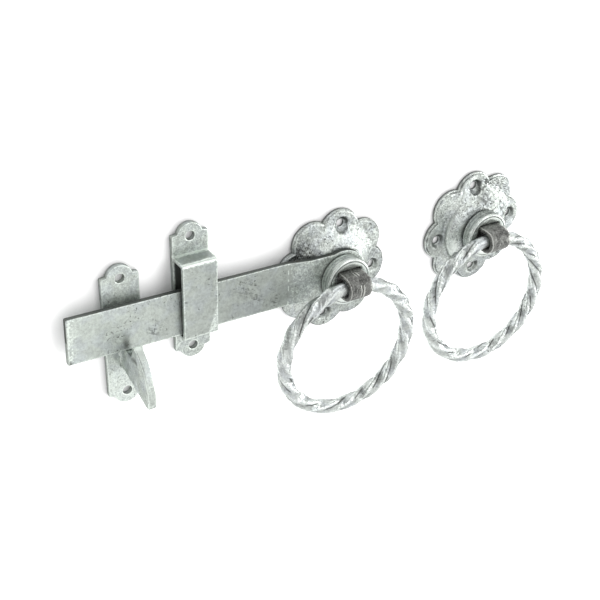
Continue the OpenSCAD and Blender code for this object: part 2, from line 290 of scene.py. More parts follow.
def make_piece(name, surface, finish, body, node, at, crease=38):
    """Mesh object from front-view points: x0 + x, -z and y0 + y in metres. Doubles are merged
    and the closed shell's normals point outwards. Its wear and painted light become the attribute "edge"."""
    points, faces, wear_and_painted_light = surface
    place = np.stack([points[:, 0] + at[0], -points[:, 2], points[:, 1] + at[1]], -1) / MM
    mesh = bpy.data.meshes.new(name)
    mesh.from_pydata(place.tolist(), [], faces.tolist())
    mesh.attributes.new("edge", "FLOAT", "POINT").data.foreach_set("value", wear_and_painted_light.astype(np.float32))
    shell = bmesh.new()
    shell.from_mesh(mesh)
    bmesh.ops.remove_doubles(shell, verts=shell.verts, dist=2e-6)
    bmesh.ops.dissolve_degenerate(shell, edges=shell.edges, dist=1e-7)
    bmesh.ops.recalc_face_normals(shell, faces=shell.faces)
    shell.to_mesh(mesh)
    shell.free()
    mesh.shade_smooth()
    mesh.set_sharp_from_angle(angle=math.radians(crease))
    mesh.materials.append(finish_named(finish))
    piece = linked(name, mesh)
    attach(piece, body)
    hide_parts(node)


# Materials

GRIT, PIT_GRAIN, CRYSTALS = 1300.0, 820.0, 420.0   # how many waves or cells to a metre
ZINC_METAL, STEEL_METAL = 0.88, 0.8


class Wire:
    """A socket that takes part in sums: each operator adds the Math node that works it out."""

    def __init__(self, shop, socket):
        self.shop, self.socket = shop, socket

    def math(self, operation, *others, clamp=False):
        return self.shop.add("Math", dict(enumerate((self, *others))), operation=operation, use_clamp=clamp)

    def __add__(self, other):
        return self.math("ADD", other)

    def __sub__(self, other):
        return self.math("SUBTRACT", other)

    def __rsub__(self, other):
        return self * -1.0 + other

    def __mul__(self, other):
        return self.math("MULTIPLY", other)

    __radd__ = __add__
    __rmul__ = __mul__

    def clamped(self):
        return self.math("ADD", 0.0, clamp=True)

    def below(self, limit):
        """1 under the limit, else 0."""
        return self.math("LESS_THAN", limit)

    def above(self, low, high):
        """0 below low, 1 above high and a smooth rise between."""
        return self.shop.add("MapRange", {"Value": self, "From Min": low, "From Max": high},
                             interpolation_type="SMOOTHSTEP")


class Workshop:
    """The nodes of one material or world, and the single method that adds any of them."""

    def __init__(self, owner):
        owner.use_nodes = True
        self.tree = owner.node_tree
        self.tree.nodes.clear()

    def add(self, kind, sockets=None, output=0, **settings):
        """Adds a shader node: its settings first, then the values or wires of its sockets."""
        node = self.tree.nodes.new("ShaderNode" + kind)
        for key, value in settings.items():
            setattr(node, key, value)
        for key, value in (sockets or {}).items():
            if isinstance(value, Wire):
                self.tree.links.new(value.socket, node.inputs[key])
            else:
                node.inputs[key].default_value = value
        return Wire(self, node.outputs[output]) if node.outputs else None

    def place(self, stretch=(1, 1, 1), offset=(0, 0, 0)):
        """Object coordinates, stretched and moved."""
        spot = self.add("TexCoord", output="Object")
        return self.add("Mapping", {"Vector": spot, "Scale": stretch, "Location": offset})

    def noise(self, scale, detail, rough, distort=0.0, offset=(0, 0, 0), stretch=(1, 1, 1)):
        return self.add("TexNoise", {"Vector": self.place(stretch, offset), "Scale": scale,
                                     "Detail": detail, "Roughness": rough, "Distortion": distort})

    def edge(self):
        """How much wear and painted light the surface has here: wear and painted highlights above 0, dirt
        and painted shade below 0.
        """
        return self.add("Attribute", output="Fac", attribute_name="edge")

    def blend(self, factor, low, high, kind="MIX"):
        """Colour mixed from low to high by factor."""
        def paint(value):
            return value if isinstance(value, Wire) else (*value, 1.0)
        return self.add("Mix", {0: factor, 6: paint(low), 7: paint(high)}, 2, data_type="RGBA",
                        blend_type=kind)

    def metal(self, base, shine, metallic, bump, **shader):
        """Metal shader with its bump, given as (strength, distance, height), wired to the output."""
        normal = self.add("Bump", dict(zip(("Strength", "Distance", "Height"), bump)))
        surface = self.add("BsdfPrincipled", {"Base Color": base, "Roughness": shine, "Metallic": metallic,
                                              "Normal": normal, **shader})
        self.add("OutputMaterial", {"Surface": surface})


def shade(tone, by):
    """A colour made lighter or darker by a factor."""
    return tuple(min(1.0, c * by) for c in tone)


def galvanised(shop, tone, mottle, pits, rough, bump, depth, mix=(0.34, 0.32, 0.28), cast=0.0, drift=0.0,
               fray=1.0):
    """Zinc finish: patches, grains and fine grit mixed by mix, crystals, and clusters of dark pits. The
    attribute "edge" brightens wear and painted highlights where it is above 0 and darkens dirt and
    painted shade where it is below. With drift, painted light falls off: the zinc darkens from the
    lift bar's free end to its crank."""
    patch = shop.noise(mottle, 4.0, 0.62, 0.7)
    grain = shop.noise(mottle * 3.2, 3.0, 0.7, 0.3, (0.5, 0.2, 0.8))
    grit = shop.noise(GRIT, 3.0, 0.75, 0.0, (0.3, 0.1, 0.2))
    cells = shop.add("TexVoronoi", {"Vector": shop.place(), "Scale": CRYSTALS}, "Color")
    crystal = shop.add("SeparateColor", {"Color": cells})
    cluster = shop.noise(mottle * 0.5, 2.0, 0.5, 0.0, (0.2, 0.9, 0.4)).above(0.42, 0.62)
    pit = shop.noise(PIT_GRAIN, 2.0, 0.5, 0.9, (0.7, 0.5, 0.1)).above(0.60, 0.70) * cluster
    edge = shop.edge()
    # Brightening from wear and painted highlights, where the attribute is above 0
    ragged = (edge * 0.9 + (grit * 1.3 + grain * 0.8 - 1.05) * fray - 0.1).above(0.1, 0.8)
    # Painted shade and dirt, where the attribute is below 0
    dirt_and_painted_shade = (edge * -1.0 + grit * 0.9 - 0.45).clamped()
    level = (patch.above(0.3, 0.7) * mix[0] + grain.above(0.36, 0.64) * mix[1]
             + grit.above(0.36, 0.64) * mix[2] + crystal * 0.08)
    base = shop.blend(level, shade(tone, 1 - depth * 1.25), shade(tone, 1 + depth * 1.25))
    if drift:
        along = shop.add("SeparateXYZ", {"Vector": shop.place()})
        # Painted light falloff along x over the strip pieces
        fade = (along + patch * 0.05 - 0.025).above(-0.15, -0.055)
        base = shop.blend(1.0, base, shop.blend(fade, (1, 1, 1), (1 - drift,) * 3), "MULTIPLY")
    hue = shop.noise(mottle * 0.6, 2.0, 0.5, 0.4, (0.6, 0.3, 0.1)).above(0.42, 0.62)
    base = shop.blend(hue, base, shop.blend(1.0, base, (0.975, 0.975, 1.025), "MULTIPLY"))
    base = shop.blend(pit * pits, base, shade(tone, 0.28))
    # Painted shade and dirt darken the colour, brown in the pits
    base = shop.blend(dirt_and_painted_shade * 0.95, base, shop.blend(pit, shade(tone, 0.2), (0.11, 0.085, 0.065)))
    # Wear and painted highlights lighten it
    base = shop.blend(ragged * 0.9, base, shade(tone, 1.5))
    skin = patch * 0.45 + grain * 0.35 + grit * 0.16 + crystal * 0.1 * cast - pit * (0.3 + 0.5 * cast)
    shine = (patch.above(0.3, 0.7) * 0.14 + grain * 0.1 - ragged * 0.08 + pit * 0.25
             + (rough - 0.12)).clamped()
    shop.metal(base, shine, ZINC_METAL, (bump, 0.0007, skin), **{"Specular Tint": (0.3, 0.3, 0.3, 1)})


def bare_steel(shop, tone):
    """Bare forged steel: grey-brown scale, light edges from wear and painted highlights, painted shade
    where the attribute is below 0, pits and drawn-out scratches.
    """
    patch = shop.noise(260.0, 4.0, 0.65, 0.6)
    fine = shop.noise(GRIT, 3.0, 0.75)
    scratch = shop.noise(560.0, 2.0, 0.5, 0.5, stretch=(1.5, 1.0, 0.5)).above(0.60, 0.70)
    edge = shop.edge()
    # Wear and painted highlights where the attribute is above 0, painted shade where it is below
    wear_and_painted_light = (edge * 1.1 + fine * 0.8 - 0.85).above(0.1, 0.5)
    dirt_and_painted_shade = (edge * -1.0).clamped()
    level = patch.above(0.35, 0.65) * 0.5 + fine.above(0.35, 0.65) * 0.5
    base = shop.blend(level, shade(tone, 0.25), shade(tone, 1.9))
    for much, tint in ((scratch * 0.5, 3.2), (wear_and_painted_light * 0.8, 4.2), (dirt_and_painted_shade * 0.9, 0.2)):
        base = shop.blend(much, base, shade(tone, tint))
    skin = patch * 0.5 + fine * 0.4 - scratch * 0.3
    shop.metal(base, (patch * 0.2 + fine * 0.15 + 0.31).clamped(), STEEL_METAL, (0.5, 0.0006, skin))


FINISHES = {                       # colour, and how galvanised or bare_steel makes the finish from it
    "strip_zinc": ("strip", galvanised, dict(mottle=190.0, pits=0.9, rough=0.47, bump=0.45, depth=0.26,
                                             mix=(0.42, 0.3, 0.22), drift=0.33)),
    "cast_zinc": ("casting", galvanised, dict(mottle=230.0, pits=0.9, rough=0.38, bump=0.9, depth=0.52,
                                              mix=(0.28, 0.36, 0.34), cast=1.0)),
    "turned_zinc": ("casting", galvanised, dict(mottle=230.0, pits=0.35, rough=0.36, bump=0.3, depth=0.36,
                                                fray=0.7)),
    "ring_zinc": ("ring", galvanised, dict(mottle=300.0, pits=0.9, rough=0.34, bump=0.8, depth=0.3)),
    "dark_steel": ("steel", bare_steel, {}),
}


def finish_named(name):
    """The finish of that name, made on first use from the scene's colours."""
    material = bpy.data.materials.get(name)
    if not material:
        colour_name, make, look = FINISHES[name]
        material = bpy.data.materials.new(name)
        make(Workshop(material), tuple(getattr(bpy.context.scene.latch_colours, colour_name)), **look)
    return material


# Roses

ROSE_LOBES, LOBE_COLUMNS = 8, 48
BORE_R, NECK_R, BELL_R = 11.05, 14.0, 22.0
HOLLOW_R, HOLLOW_Z = 18.8, 4.3
PLATE_Z, FOOT_Z, NECK_Z = 3.0, 4.4, 8.5
FILLET_R, BORE_EDGE = 1.4, 0.3
HOLE_R, SINK_Z, SINK_R = 2.3, 1.1, 4.4   # screw hole, where its countersink starts and how wide it gets
SCREW_RING, HOLE_ROWS = 26.5, 8    # distance of the holes from the axis, and rows from the bell to them
SOFTENED = np.linspace(-4.5, 4.5, 19)
LOW_LEFT = np.array([-0.77, -0.64])

# Band round the lobes from front to back, as (inset, height): a step where crisp, a round where wear has
# softened it
CRISP_BAND = np.array([[1.4, 3.0], [1.2, 2.95], [1.05, 2.8], [1.0, 2.55], [1.0, 2.2], [0.92, 1.98],
                       [0.75, 1.9], [0.4, 1.88], [0.15, 1.78], [0.02, 1.55], [0.0, 1.2], [0.0, 0.35],
                       [0.1, 0.1], [0.35, 0.0], [1.4, 0.0]])
ROUND_BAND = np.array([[1.4, 3.0], [1.1, 2.97], [0.9, 2.92], [0.75, 2.84], [0.6, 2.72], [0.46, 2.58],
                       [0.32, 2.38], [0.2, 2.15], [0.1, 1.85], [0.03, 1.5], [0.0, 1.1], [0.0, 0.35],
                       [0.1, 0.1], [0.35, 0.0], [1.4, 0.0]])
BAND_INSET = CRISP_BAND[0, 0]
# Wear and painted light of each row of the band, with its side walls painted in shade
CRISP_WEAR_AND_SHADE = np.array([0.1, 0.3, 0.5, -0.3, -0.7, -0.7, 0.0, 0.3, 0.5, 0.1, -0.6, -0.8, -0.8, -0.5, 0])
ROUND_WEAR_AND_SHADE = np.array([0.1, 0.2, 0.3, 0.4, 0.4, 0.4, 0.3, 0.2, 0.0, -0.2, -0.5, -0.8, -0.8, -0.5, 0])

# Spots of painted highlight and painted shade on the handle's rose, as (x, y, size, strength)
LIGHT_AND_SHADE_SPOTS = ((-3.5, 32, 3, 1.0), (5, 28, 3, -0.8), (2.3, 20, 4.5, -0.45), (-16.4, -4.8, 4, 0.7),
              (-26, 22, 6, 0.3))


def lobe_outline(t, tip, lobe, inset):
    """Distance from the axis to the lobed outline at angle t, moved in by inset: the far crossing
    of the ray with the nearest lobe's circle, whose middle lies tip - lobe from the axis."""
    near = (t + np.pi / ROSE_LOBES) % (TURN / ROSE_LOBES) - np.pi / ROSE_LOBES
    middle = tip - lobe
    return middle * np.cos(near) + np.sqrt((lobe - inset) ** 2 - (middle * np.sin(near)) ** 2)


def bell_height(r):
    """Flat neck, a quarter ellipse down to the foot at BELL_R, a quarter circle out to the plate."""
    dome = FOOT_Z + (NECK_Z - FOOT_Z) * np.sqrt(1 - np.clip((r - NECK_R) / (BELL_R - NECK_R), 0, 1) ** 2)
    foot = FOOT_Z - np.sqrt(np.clip(FILLET_R ** 2 - (BELL_R + FILLET_R - r) ** 2, 0, None))
    return np.where(r <= BELL_R, dome, np.where(r < BELL_R + FILLET_R, foot, PLATE_Z))


def rose_plan(tip, lobe, t, turn):
    """Grid of distance from the axis by the angles t, out to the lobed band and drawn in round four
    holes. Gives the plan, which cells are kept and the middles of the holes."""
    columns = len(t)
    dome = NECK_R + (BELL_R - NECK_R) * np.cos(np.radians(np.linspace(90, 0, 17)))
    fillet = BELL_R + FILLET_R * (1 - np.cos(np.radians([20, 40, 60, 75, 90])))
    inner = np.sort(np.concatenate([[BORE_R + BORE_EDGE, 12.3], dome, [HOLLOW_R - 0.03, HOLLOW_R + 0.03],
                                    fillet]))
    step = (SCREW_RING - BELL_R - FILLET_R) / HOLE_ROWS
    near = BELL_R + FILLET_R + step * np.arange(1, HOLE_ROWS + 1)
    far = lobe_outline(t - turn, tip, lobe, BAND_INSET)
    beyond = SCREW_RING + (far - SCREW_RING) * np.linspace(0, 1, 19)[1:, None]
    r = np.concatenate([np.repeat(np.concatenate([inner, near])[:, None], columns, 1), beyond])
    plan = np.stack([r * np.cos(t), r * np.sin(t)], -1)
    kept = np.ones((len(r) - 1, columns), bool)
    row = len(inner) + HOLE_ROWS - 1
    places = [2 * k * LOBE_COLUMNS for k in range(4)]
    holes = [plan[row, column].copy() for column in places]
    for column in places:
        plan = drilled(plan, kept, row, column, HOLE_R + 0.2)
    return plan, kept, holes


def rose_wear_and_painted_light(points, wear_and_painted_light, holes, crisp, seed):
    """Each countersink gets painted shade on its upper right and a painted highlight on its lower-left
    edge. The handle's rose gets a painted highlight line at the bell's foot on the left and a painted
    highlight on the lower left of its bell, painted shade on the top and right of its bell, is painted
    lighter to the upper left, gets painted light and shade on single lobes and in spots, and is rough
    elsewhere; the latch's has the bar's painted shadow beside the bar, speckled, and mottled painted
    light on its lobes to the upper right. The back keeps its wear."""
    x, y, z = points.T
    far = np.hypot(x, y)
    front = wear_and_painted_light.copy()
    for hole in holes:
        dx, dy = x - hole[0], y - hole[1]
        off = np.hypot(dx, dy)
        # Painted shade on the countersink's upper right, and a painted highlight on its lower-left edge
        front -= 1.1 * smooth((SINK_R + 0.4 - off) / 1.2) * toward(dx, dy, 55, 105)
        front += 0.7 * peak(off - SINK_R - 0.2, 0.5) * toward(dx, dy, 230, 90)
    if crisp:
        lobes = smooth((far - BELL_R) / 2)
        rubbed_and_painted_light = smooth((points[:, :2] @ LOW_LEFT) / far * 2 - 0.9)
        # Painted highlight line at the bell's foot on the left, and a painted highlight on the bell's lower
        # left
        front += 0.9 * peak(far - BELL_R + 0.3, 0.4) * smooth((-0.9 * x - 0.3 * y) / far * 2 - 0.6)
        front += 0.75 * smooth((far - 16) / 3) * (far < BELL_R) * rubbed_and_painted_light
        # Painted shade on the top and the right of the bell, with spots of painted highlight and shade
        front -= 0.5 * smooth(0.4 + lumps(points, 5, seed + 3)) * smooth((y - 5) / 8) * toward(x, y, 70, 60)
        front -= ((0.35 + 0.3 * lumps(points, 2.5, seed + 4)) * toward(x, y, 15, 60) * (1 - lobes)
                  - spots(x, y, LIGHT_AND_SHADE_SPOTS)) * (z > 2)
        # Mottled lobes to the upper right; painted lighter to the upper left; single lobes painted lighter
        # and darker
        front += 0.45 * lumps(points, 1.8, seed + 6) * toward(x, y, 60, 50) * lobes
        front += 0.45 * toward(x, y, 145, 40)
        for heading, spread, much in ((228, 18, 0.3), (186, 26, -0.45), (270, 30, -0.3)):
            front += much * toward(x, y, heading, spread) * lobes
    else:
        # The bar's painted shadow beside the bar, speckled
        front -= (0.75 * smooth((-9 - x) / 9) * smooth((25 - y) / 9) * smooth(y / 4)
                  * (0.95 + 0.6 * lumps(points, 1.6, seed + 5)))
        # Mottled painted light on the lobes to the upper right
        front += (0.3 * lumps(points, 3, seed + 6) + 0.1) * toward(x, y, 35, 70) * smooth((far - 20) / 3)
    return np.where(z > 1.5, front, wear_and_painted_light)


def rose_band(tip, lobe, t, turn, crisp, height, seed):
    """Closed band round the lobes: each row of its profile follows lobe_outline, and all rows but the
    first, at the front's height, and the last wander up and down by 0.1 mm."""
    band = ROUND_BAND + (CRISP_BAND - ROUND_BAND) * crisp
    rough = lumps(polar(30, t, 0), 5, seed)
    grid = np.stack([polar(lobe_outline(t - turn, tip, lobe, inset), t, z + 0.1 * rough * inner)
                     for (inset, z), inner in zip(band, [0] + [1] * (len(band) - 2) + [0])])
    grid[0, :, 2] = height
    wear_and_painted_light = np.repeat((ROUND_WEAR_AND_SHADE + (CRISP_WEAR_AND_SHADE - ROUND_WEAR_AND_SHADE) * crisp)[:, None], len(t), 1)
    wear_and_painted_light[1:9] += 0.5 * rough * crisp
    # The band's rounded rows are painted darker towards the lower right
    low_right = smooth((0.8 * np.cos(t) - 0.6 * np.sin(t) + 0.2) / 0.5)
    wear_and_painted_light[2:7] = wear_and_painted_light[2:7] * (1 - low_right) - 0.7 * low_right
    return tube(grid, wear_and_painted_light, closed=False)


def rose_surface(tip, lobe, turn, crisp, wander, seed):
    """Rose on the grid of rose_plan. Its front follows bell_height with cones sunk round the holes,
    its back is flat with a hollow, and rose_band runs round the lobes from front to back. Away from
    the lower left the bell's foot is softened by wear: bell_height is averaged over 9 mm, fully where
    crisp is 0, and the band's step is as deep as crisp."""
    t = turn + TURN * np.arange(ROSE_LOBES * LOBE_COLUMNS) / (ROSE_LOBES * LOBE_COLUMNS)
    plan, kept, holes = rose_plan(tip, lobe, t, turn)
    rho = np.linalg.norm(plan, axis=-1)
    z = bell_height(rho)
    soft = sum(bell_height(rho + d) for d in SOFTENED) / len(SOFTENED)
    keen = crisp * smooth((plan @ LOW_LEFT / rho + 0.1) / 0.7)
    z = np.where(rho < NECK_R, z, z * keen + soft * (1 - keen))
    for hole in holes:
        off = np.linalg.norm(plan - hole, axis=-1)
        cone = SINK_Z + off - HOLE_R + 4 * np.clip(off - SINK_R, 0, None)
        z = np.minimum(z, cone) - 0.12 * peak(z - cone, 0.25)
    rough = wander * uneven(raised(plan, z), seed, (0.7, 13), (0.5, 4.5))
    front = raised(plan, z + rough * smooth((rho - BORE_R - 1) / 3))
    outline = np.zeros(rho.shape, bool)
    outline[-1] = True
    # The side walls are painted in shade, and the corners painted a little darker
    points, faces, wear_and_painted_light = thick(front, raised(plan, np.where(rho < HOLLOW_R, HOLLOW_Z, 0.0)), BORE_EDGE,
                                kept, closed=True, skip=outline.ravel(), lip=-0.2, wall=-0.8)
    wear_and_painted_light = rose_wear_and_painted_light(points, wear_and_painted_light, holes, crisp, seed)
    band, band_faces, band_wear_and_painted_light = rose_band(tip, lobe, t, turn, crisp, front[-1, :, 2], seed + 2)
    return (np.concatenate([points, band]), np.concatenate([faces, band_faces + len(points)]),
            np.concatenate([wear_and_painted_light, band_wear_and_painted_light]))


class LATCH_OT_roses(bpy.types.Operator):
    """Make the two lobed roses"""
    bl_idname = "latch.roses"
    bl_label = "Roses"

    def execute(self, context):
        sizes = context.scene.latch_sizes
        for side, at, turn, crisp, seed in (("latch", LATCH_AT, -9.6, 0.0, 11),
                                            ("handle", HANDLE_AT, 5.6, 1.0, 23)):
            surface = rose_surface(sizes.rose_d * MM / 2, sizes.lobe_r * MM, math.radians(turn), crisp,
                                   sizes.cast_lumps * MM, seed)
            make_piece(f"rose_of_{side}", surface, "cast_zinc", "gate_fixings",
                       f"{side}_rose", at)
        return {"FINISHED"}


# Hubs

COLLAR_R, COLLAR_T, RIM_R, DISH = 13.4, 7.2, 1.1, 1.0
BARREL_R, BARREL_Z = 11.0, 4.1
SEAT_R, SEAT_HALF = 12.2, 11.1
SLOT_X, SLOT_Y = 7.4, 7.3
HUB_BACK = 8.7                     # back of what stands on a rose's neck
BAR_T = 3.2
LATCH_FACE, HANDLE_FACE = HUB_BACK + BAR_T + COLLAR_T, HUB_BACK + COLLAR_T   # fronts of the collars
# Groove round the collar's face, as (distance from the dish's lip, height, wear and painted light): rings
# of painted highlight beside a groove painted in shade
FACE_GROOVE = ((0.12, -0.02, 0.9), (0.42, 0.0, 0.9), (0.50, -0.25, -0.8), (0.80, -0.25, -0.8),
               (0.90, -0.06, 0.8))


def hub_surface(seat, seed):
    """Closed grid of angle by a profile that runs from the slot's edge over the dished face,
    round the grooved rim, down the collar, seat and barrel, and back up inside the slot."""
    t = TURN * np.arange(288) / 288
    back = HUB_BACK + seat
    face = back + COLLAR_T
    slot = rounded_rect(t, SLOT_X, SLOT_Y, 16)
    flats = np.minimum(SEAT_R, SEAT_HALF / np.maximum(abs(np.sin(t)), 1e-6))
    lip = COLLAR_R - 2 * RIM_R
    draw = np.random.default_rng(seed)
    rows, wear_and_painted_light = [], []

    def row(r, z, edge=0.0):
        rows.append(polar(r, t, z))
        wear_and_painted_light.append(np.full(len(t), edge))

    # The dish is painted light
    for k in np.linspace(0, 1, 9):
        row(slot * (1 - k) + lip * k, face - DISH * (1 - k) ** 2.5, 1.3)
    for r, z, edge in FACE_GROOVE:
        row(lip + r, face + z, edge)
    # The rounded rim: wear and a painted highlight
    for a in np.radians(np.linspace(90, 0, 8)):
        row(COLLAR_R - RIM_R + RIM_R * math.cos(a), face - RIM_R + RIM_R * math.sin(a), 0.8)
    # The collar's side: turned streaks, painted lighter overall
    for i, z in enumerate(np.linspace(face - RIM_R - 0.3, back + 0.9, 13)):
        r = COLLAR_R - draw.uniform(0, 0.06)
        row(r, z, 0.65 + 0.85 * math.sin(1.35 * i) + draw.uniform(-0.2, 0.2))
    # Painted shade at the foot of the collar
    for inset, z, edge in ((0.05, 0.6, -1.0), (0.15, 0.12, -1.0), (0.35, 0.0, -0.8)):
        row(COLLAR_R - inset, back + z, edge)
    if seat:
        # Painted shade on the seat
        row(flats, back, -0.8)
        row(flats, HUB_BACK, -0.8)
    row(BARREL_R, HUB_BACK)
    row(BARREL_R, BARREL_Z + 0.3)
    row(BARREL_R - 0.3, BARREL_Z)
    row(slot, BARREL_Z)
    # Painted shade inside the slot
    row(slot, face - DISH - 0.6, -1.0)
    grid = np.stack(rows)
    side = (np.linalg.norm(grid[..., :2], axis=-1) > COLLAR_R - 0.4) & (grid[..., 2] > back + 0.2)
    grid[..., :2] *= (1 + side * 0.0035 * lumps(grid, 6, seed))[..., None]
    return tube(grid, wear_and_painted_light)


class LATCH_OT_hubs(bpy.types.Operator):
    """Make the collars that turn in the roses"""
    bl_idname = "latch.hubs"
    bl_label = "Hubs"

    def execute(self, context):
        for side, at, seat, seed in (("latch", LATCH_AT, BAR_T, 31), ("handle", HANDLE_AT, 0.0, 37)):
            make_piece(f"hub_of_{side}", hub_surface(seat, seed), "turned_zinc", f"{side}_spindle",
                       f"{side}_hub", at)
        return {"FINISHED"}


# Straps

STRAP_W, STRAP_T, LOOP_R, LOOP_STAND = 14.0, 2.5, 4.3, 4.8
FOOT_REACH, FOOT_BEND = 10.5, 1.3  # axis to the end of a turned foot, and the bend above it
CREASE_X, BAND_X = 0.6, -0.8       # where the crease and the band of painted highlight run across the strap


def strap_surface(face, crease, seed):
    """Flat section with rounded corners, carried along foot, leg, loop, leg and foot. Across the section
    the offset is the strap's half width or thickness on a rounded rectangle; the ends shrink to a
    point. Round the loop the outside has a forged crease painted in shade between two ridges with
    painted highlights where crease is 1, and a band of painted highlight beside a rough part where
    it is 0. The edges get wear and painted highlights."""
    mid = LOOP_R + STRAP_T / 2
    reach = face + LOOP_STAND
    start = FIT + STRAP_T / 2
    leg = (reach - start - FOOT_BEND, 0)
    foot = (FOOT_REACH - mid - FOOT_BEND, 0)
    bend = (FOOT_BEND * np.pi / 2, -90)
    at, far = route((start, -FOOT_REACH), 90, [foot, bend, leg, (mid * np.pi, 180), leg, bend, foot])
    s = np.unique(np.concatenate([np.linspace(a, b, max(2, int((b - a) / 0.45)) + 1)
                                  for a, b in zip(far[:-1], far[1:])]))
    z, y, nz, ny = at(s)
    k = TURN * np.arange(72) / 72
    r = rounded_rect(k, STRAP_W / 2, STRAP_T / 2, 7)
    across, deep = r * np.cos(k), r * np.sin(k)
    outside = deep < 0
    from_crease = across - CREASE_X
    groove = peak(from_crease, 0.4) - 0.5 * peak(abs(from_crease) - 0.95, 0.4)
    shrink = np.ones((len(s), 1))
    shrink[[0, -1]] = 0
    shrink[[1, -2]] = 0.97
    path = front_view(0, y, z)
    normal = front_view(0, ny, nz)[:, None]
    loop = smooth((z - (reach - 5)) / 5)[:, None]
    patchy = loop * (0.6 + 0.4 * lumps(path, 6, seed + 3)[:, None])
    depth = deep[None] + (outside * groove)[None] * 0.4 * crease * patchy
    grid = path[:, None] + normal * (depth * shrink)[..., None]
    grid[..., 0] += across[None] * shrink
    dents = 0.05 * lumps(grid, 5, seed) + 0.06 * lumps(grid, 2.2, seed + 1) * outside
    grid = grid + normal * (dents * shrink)[..., None]
    # Edges: wear and painted highlights
    corner = 0.95 * smooth((abs(across) - 5.8) / 0.7) * (abs(deep) > 0.7) * (1.05 - 0.15 * crease)
    # Painted highlights on the crease's ridges, painted shade in the crease, a band of painted highlight
    # and a rough part
    ridge = 1.6 * outside * peak(abs(from_crease) - 0.8, 0.42)
    crease_shade = 0.9 * outside * peak(from_crease, 0.3)
    band = 0.8 * outside * peak(across - BAND_X, 1.0)
    rough = 0.6 * outside * smooth((across - 1) / 2) * smooth(0.5 + lumps(grid, 1.6, seed + 4))
    wear_and_painted_light = corner + ((ridge - crease_shade) * crease + (band + rough) * (1 - crease)) * patchy
    return tube(grid, wear_and_painted_light, closed=False)


class LATCH_OT_straps(bpy.types.Operator):
    """Make the bare steel straps that hold the rings"""
    bl_idname = "latch.straps"
    bl_label = "Straps"

    def execute(self, context):
        for side, at, face, crease, seed in (("latch", LATCH_AT, LATCH_FACE, 1, 41),
                                             ("handle", HANDLE_AT, HANDLE_FACE, 0, 43)):
            make_piece(f"strap_of_{side}", strap_surface(face, crease, seed), "dark_steel",
                       f"{side}_spindle", f"{side}_strap", at)
        return {"FINISHED"}


# Rings

LATCH_LEAN, HANDLE_LEAN, RING_SLANT, RING_VEER = np.radians([2.5, 0.6, 2.4, 2.7])
SQUARENESS = 4.5
NECK_BAR_R, NECK_HALF, TWIST_HALF = 3.5, 9.0, 16.0   # round neck, its half length and to the full square


def ring_surface(ring_r, bar, turns, phase, face, lean, seed):
    """Rounded square section carried round a circle while it turns: distance from the bar's
    middle is that of a superellipse at angle a less the twist, which runs almost evenly from one
    end of the neck to the other, and blends to a plain circle in the neck. The whole hangs
    from the neck's middle turned by -slant about z, lean about x and -veer about y. Hammered
    flats and a seam along them follow the section; the ridges get painted highlights, and the
    hollows between them and the seam get painted shade."""
    p = TURN * np.arange(900) / 900
    a = TURN * np.arange(64) / 64
    neck_end, full = math.asin(NECK_HALF / ring_r), math.asin(TWIST_HALF / ring_r)
    drop = (ring_r - math.sqrt(ring_r ** 2 - STRAP_W ** 2 / 4)) / 2
    share = np.clip((p - neck_end) / (TURN - 2 * neck_end), 0, 1)
    drift = 0.10 * np.sin(5 * np.pi * share) * np.sin(2 * np.pi * share + seed)
    twist = phase - TURN * turns * share + drift
    square = smooth((np.minimum(p, TURN - p) - neck_end) / (full - neck_end))[:, None]
    q = a[None] - twist[:, None]
    reach = bar / 2 * (abs(np.cos(q)) ** SQUARENESS + abs(np.sin(q)) ** SQUARENESS) ** (-1 / SQUARENESS)
    ridge = smooth((reach / (bar / 2) - 1.03) / 0.13)
    along_x, along_y = np.sin(p)[:, None], np.cos(p)[:, None]
    spot = front_view(ring_r * along_x + 4 * np.cos(q), ring_r * along_y, 4 * np.sin(q))
    r = NECK_BAR_R * (1 - square) + reach * square
    r = r + square * (uneven(spot, seed, (0.12, 7), (0.08, 2.5)) - 0.40)
    seam = peak(np.sin(2 * q - 0.5) - 0.1, 0.2) * smooth(0.2 + lumps(spot, 20, seed + 2) * 1.5)
    r = r - 0.13 * seam * square * (1 - ridge)
    # Painted highlights on the ridges, painted shade in the hollows and along the seam, and a lighter neck
    wear_and_painted_light = square * (0.62 * ridge - 0.18 * (1 - ridge) - 1.4 * seam) + 0.35 * (1 - square)
    far = ring_r + r * np.cos(a)[None]
    grid = front_view(far * along_x, far * along_y - ring_r + drop, r * np.sin(a)[None])
    hang = (Matrix.Rotation(-RING_VEER, 3, "Y") @ Matrix.Rotation(lean, 3, "X")
            @ Matrix.Rotation(-RING_SLANT, 3, "Z"))
    grid = grid @ np.array(hang).T + [0, 0, face + LOOP_STAND]
    return tube(grid, wear_and_painted_light)


class LATCH_OT_rings(bpy.types.Operator):
    """Make the two twisted rings"""
    bl_idname = "latch.rings"
    bl_label = "Rings"

    def execute(self, context):
        sizes = context.scene.latch_sizes
        for side, at, face, lean, seed in (("latch", LATCH_AT, LATCH_FACE, LATCH_LEAN, 51),
                                           ("handle", HANDLE_AT, HANDLE_FACE, HANDLE_LEAN, 57)):
            surface = ring_surface(sizes.ring_d * MM / 2, sizes.ring_bar * MM, sizes.ring_turns,
                                   sizes.ring_phase, face, lean, seed)
            make_piece(f"ring_of_{side}", surface, "ring_zinc", f"{side}_ring",
                       f"{side}_ring", at, crease=60)
        return {"FINISHED"}


# Lift bar

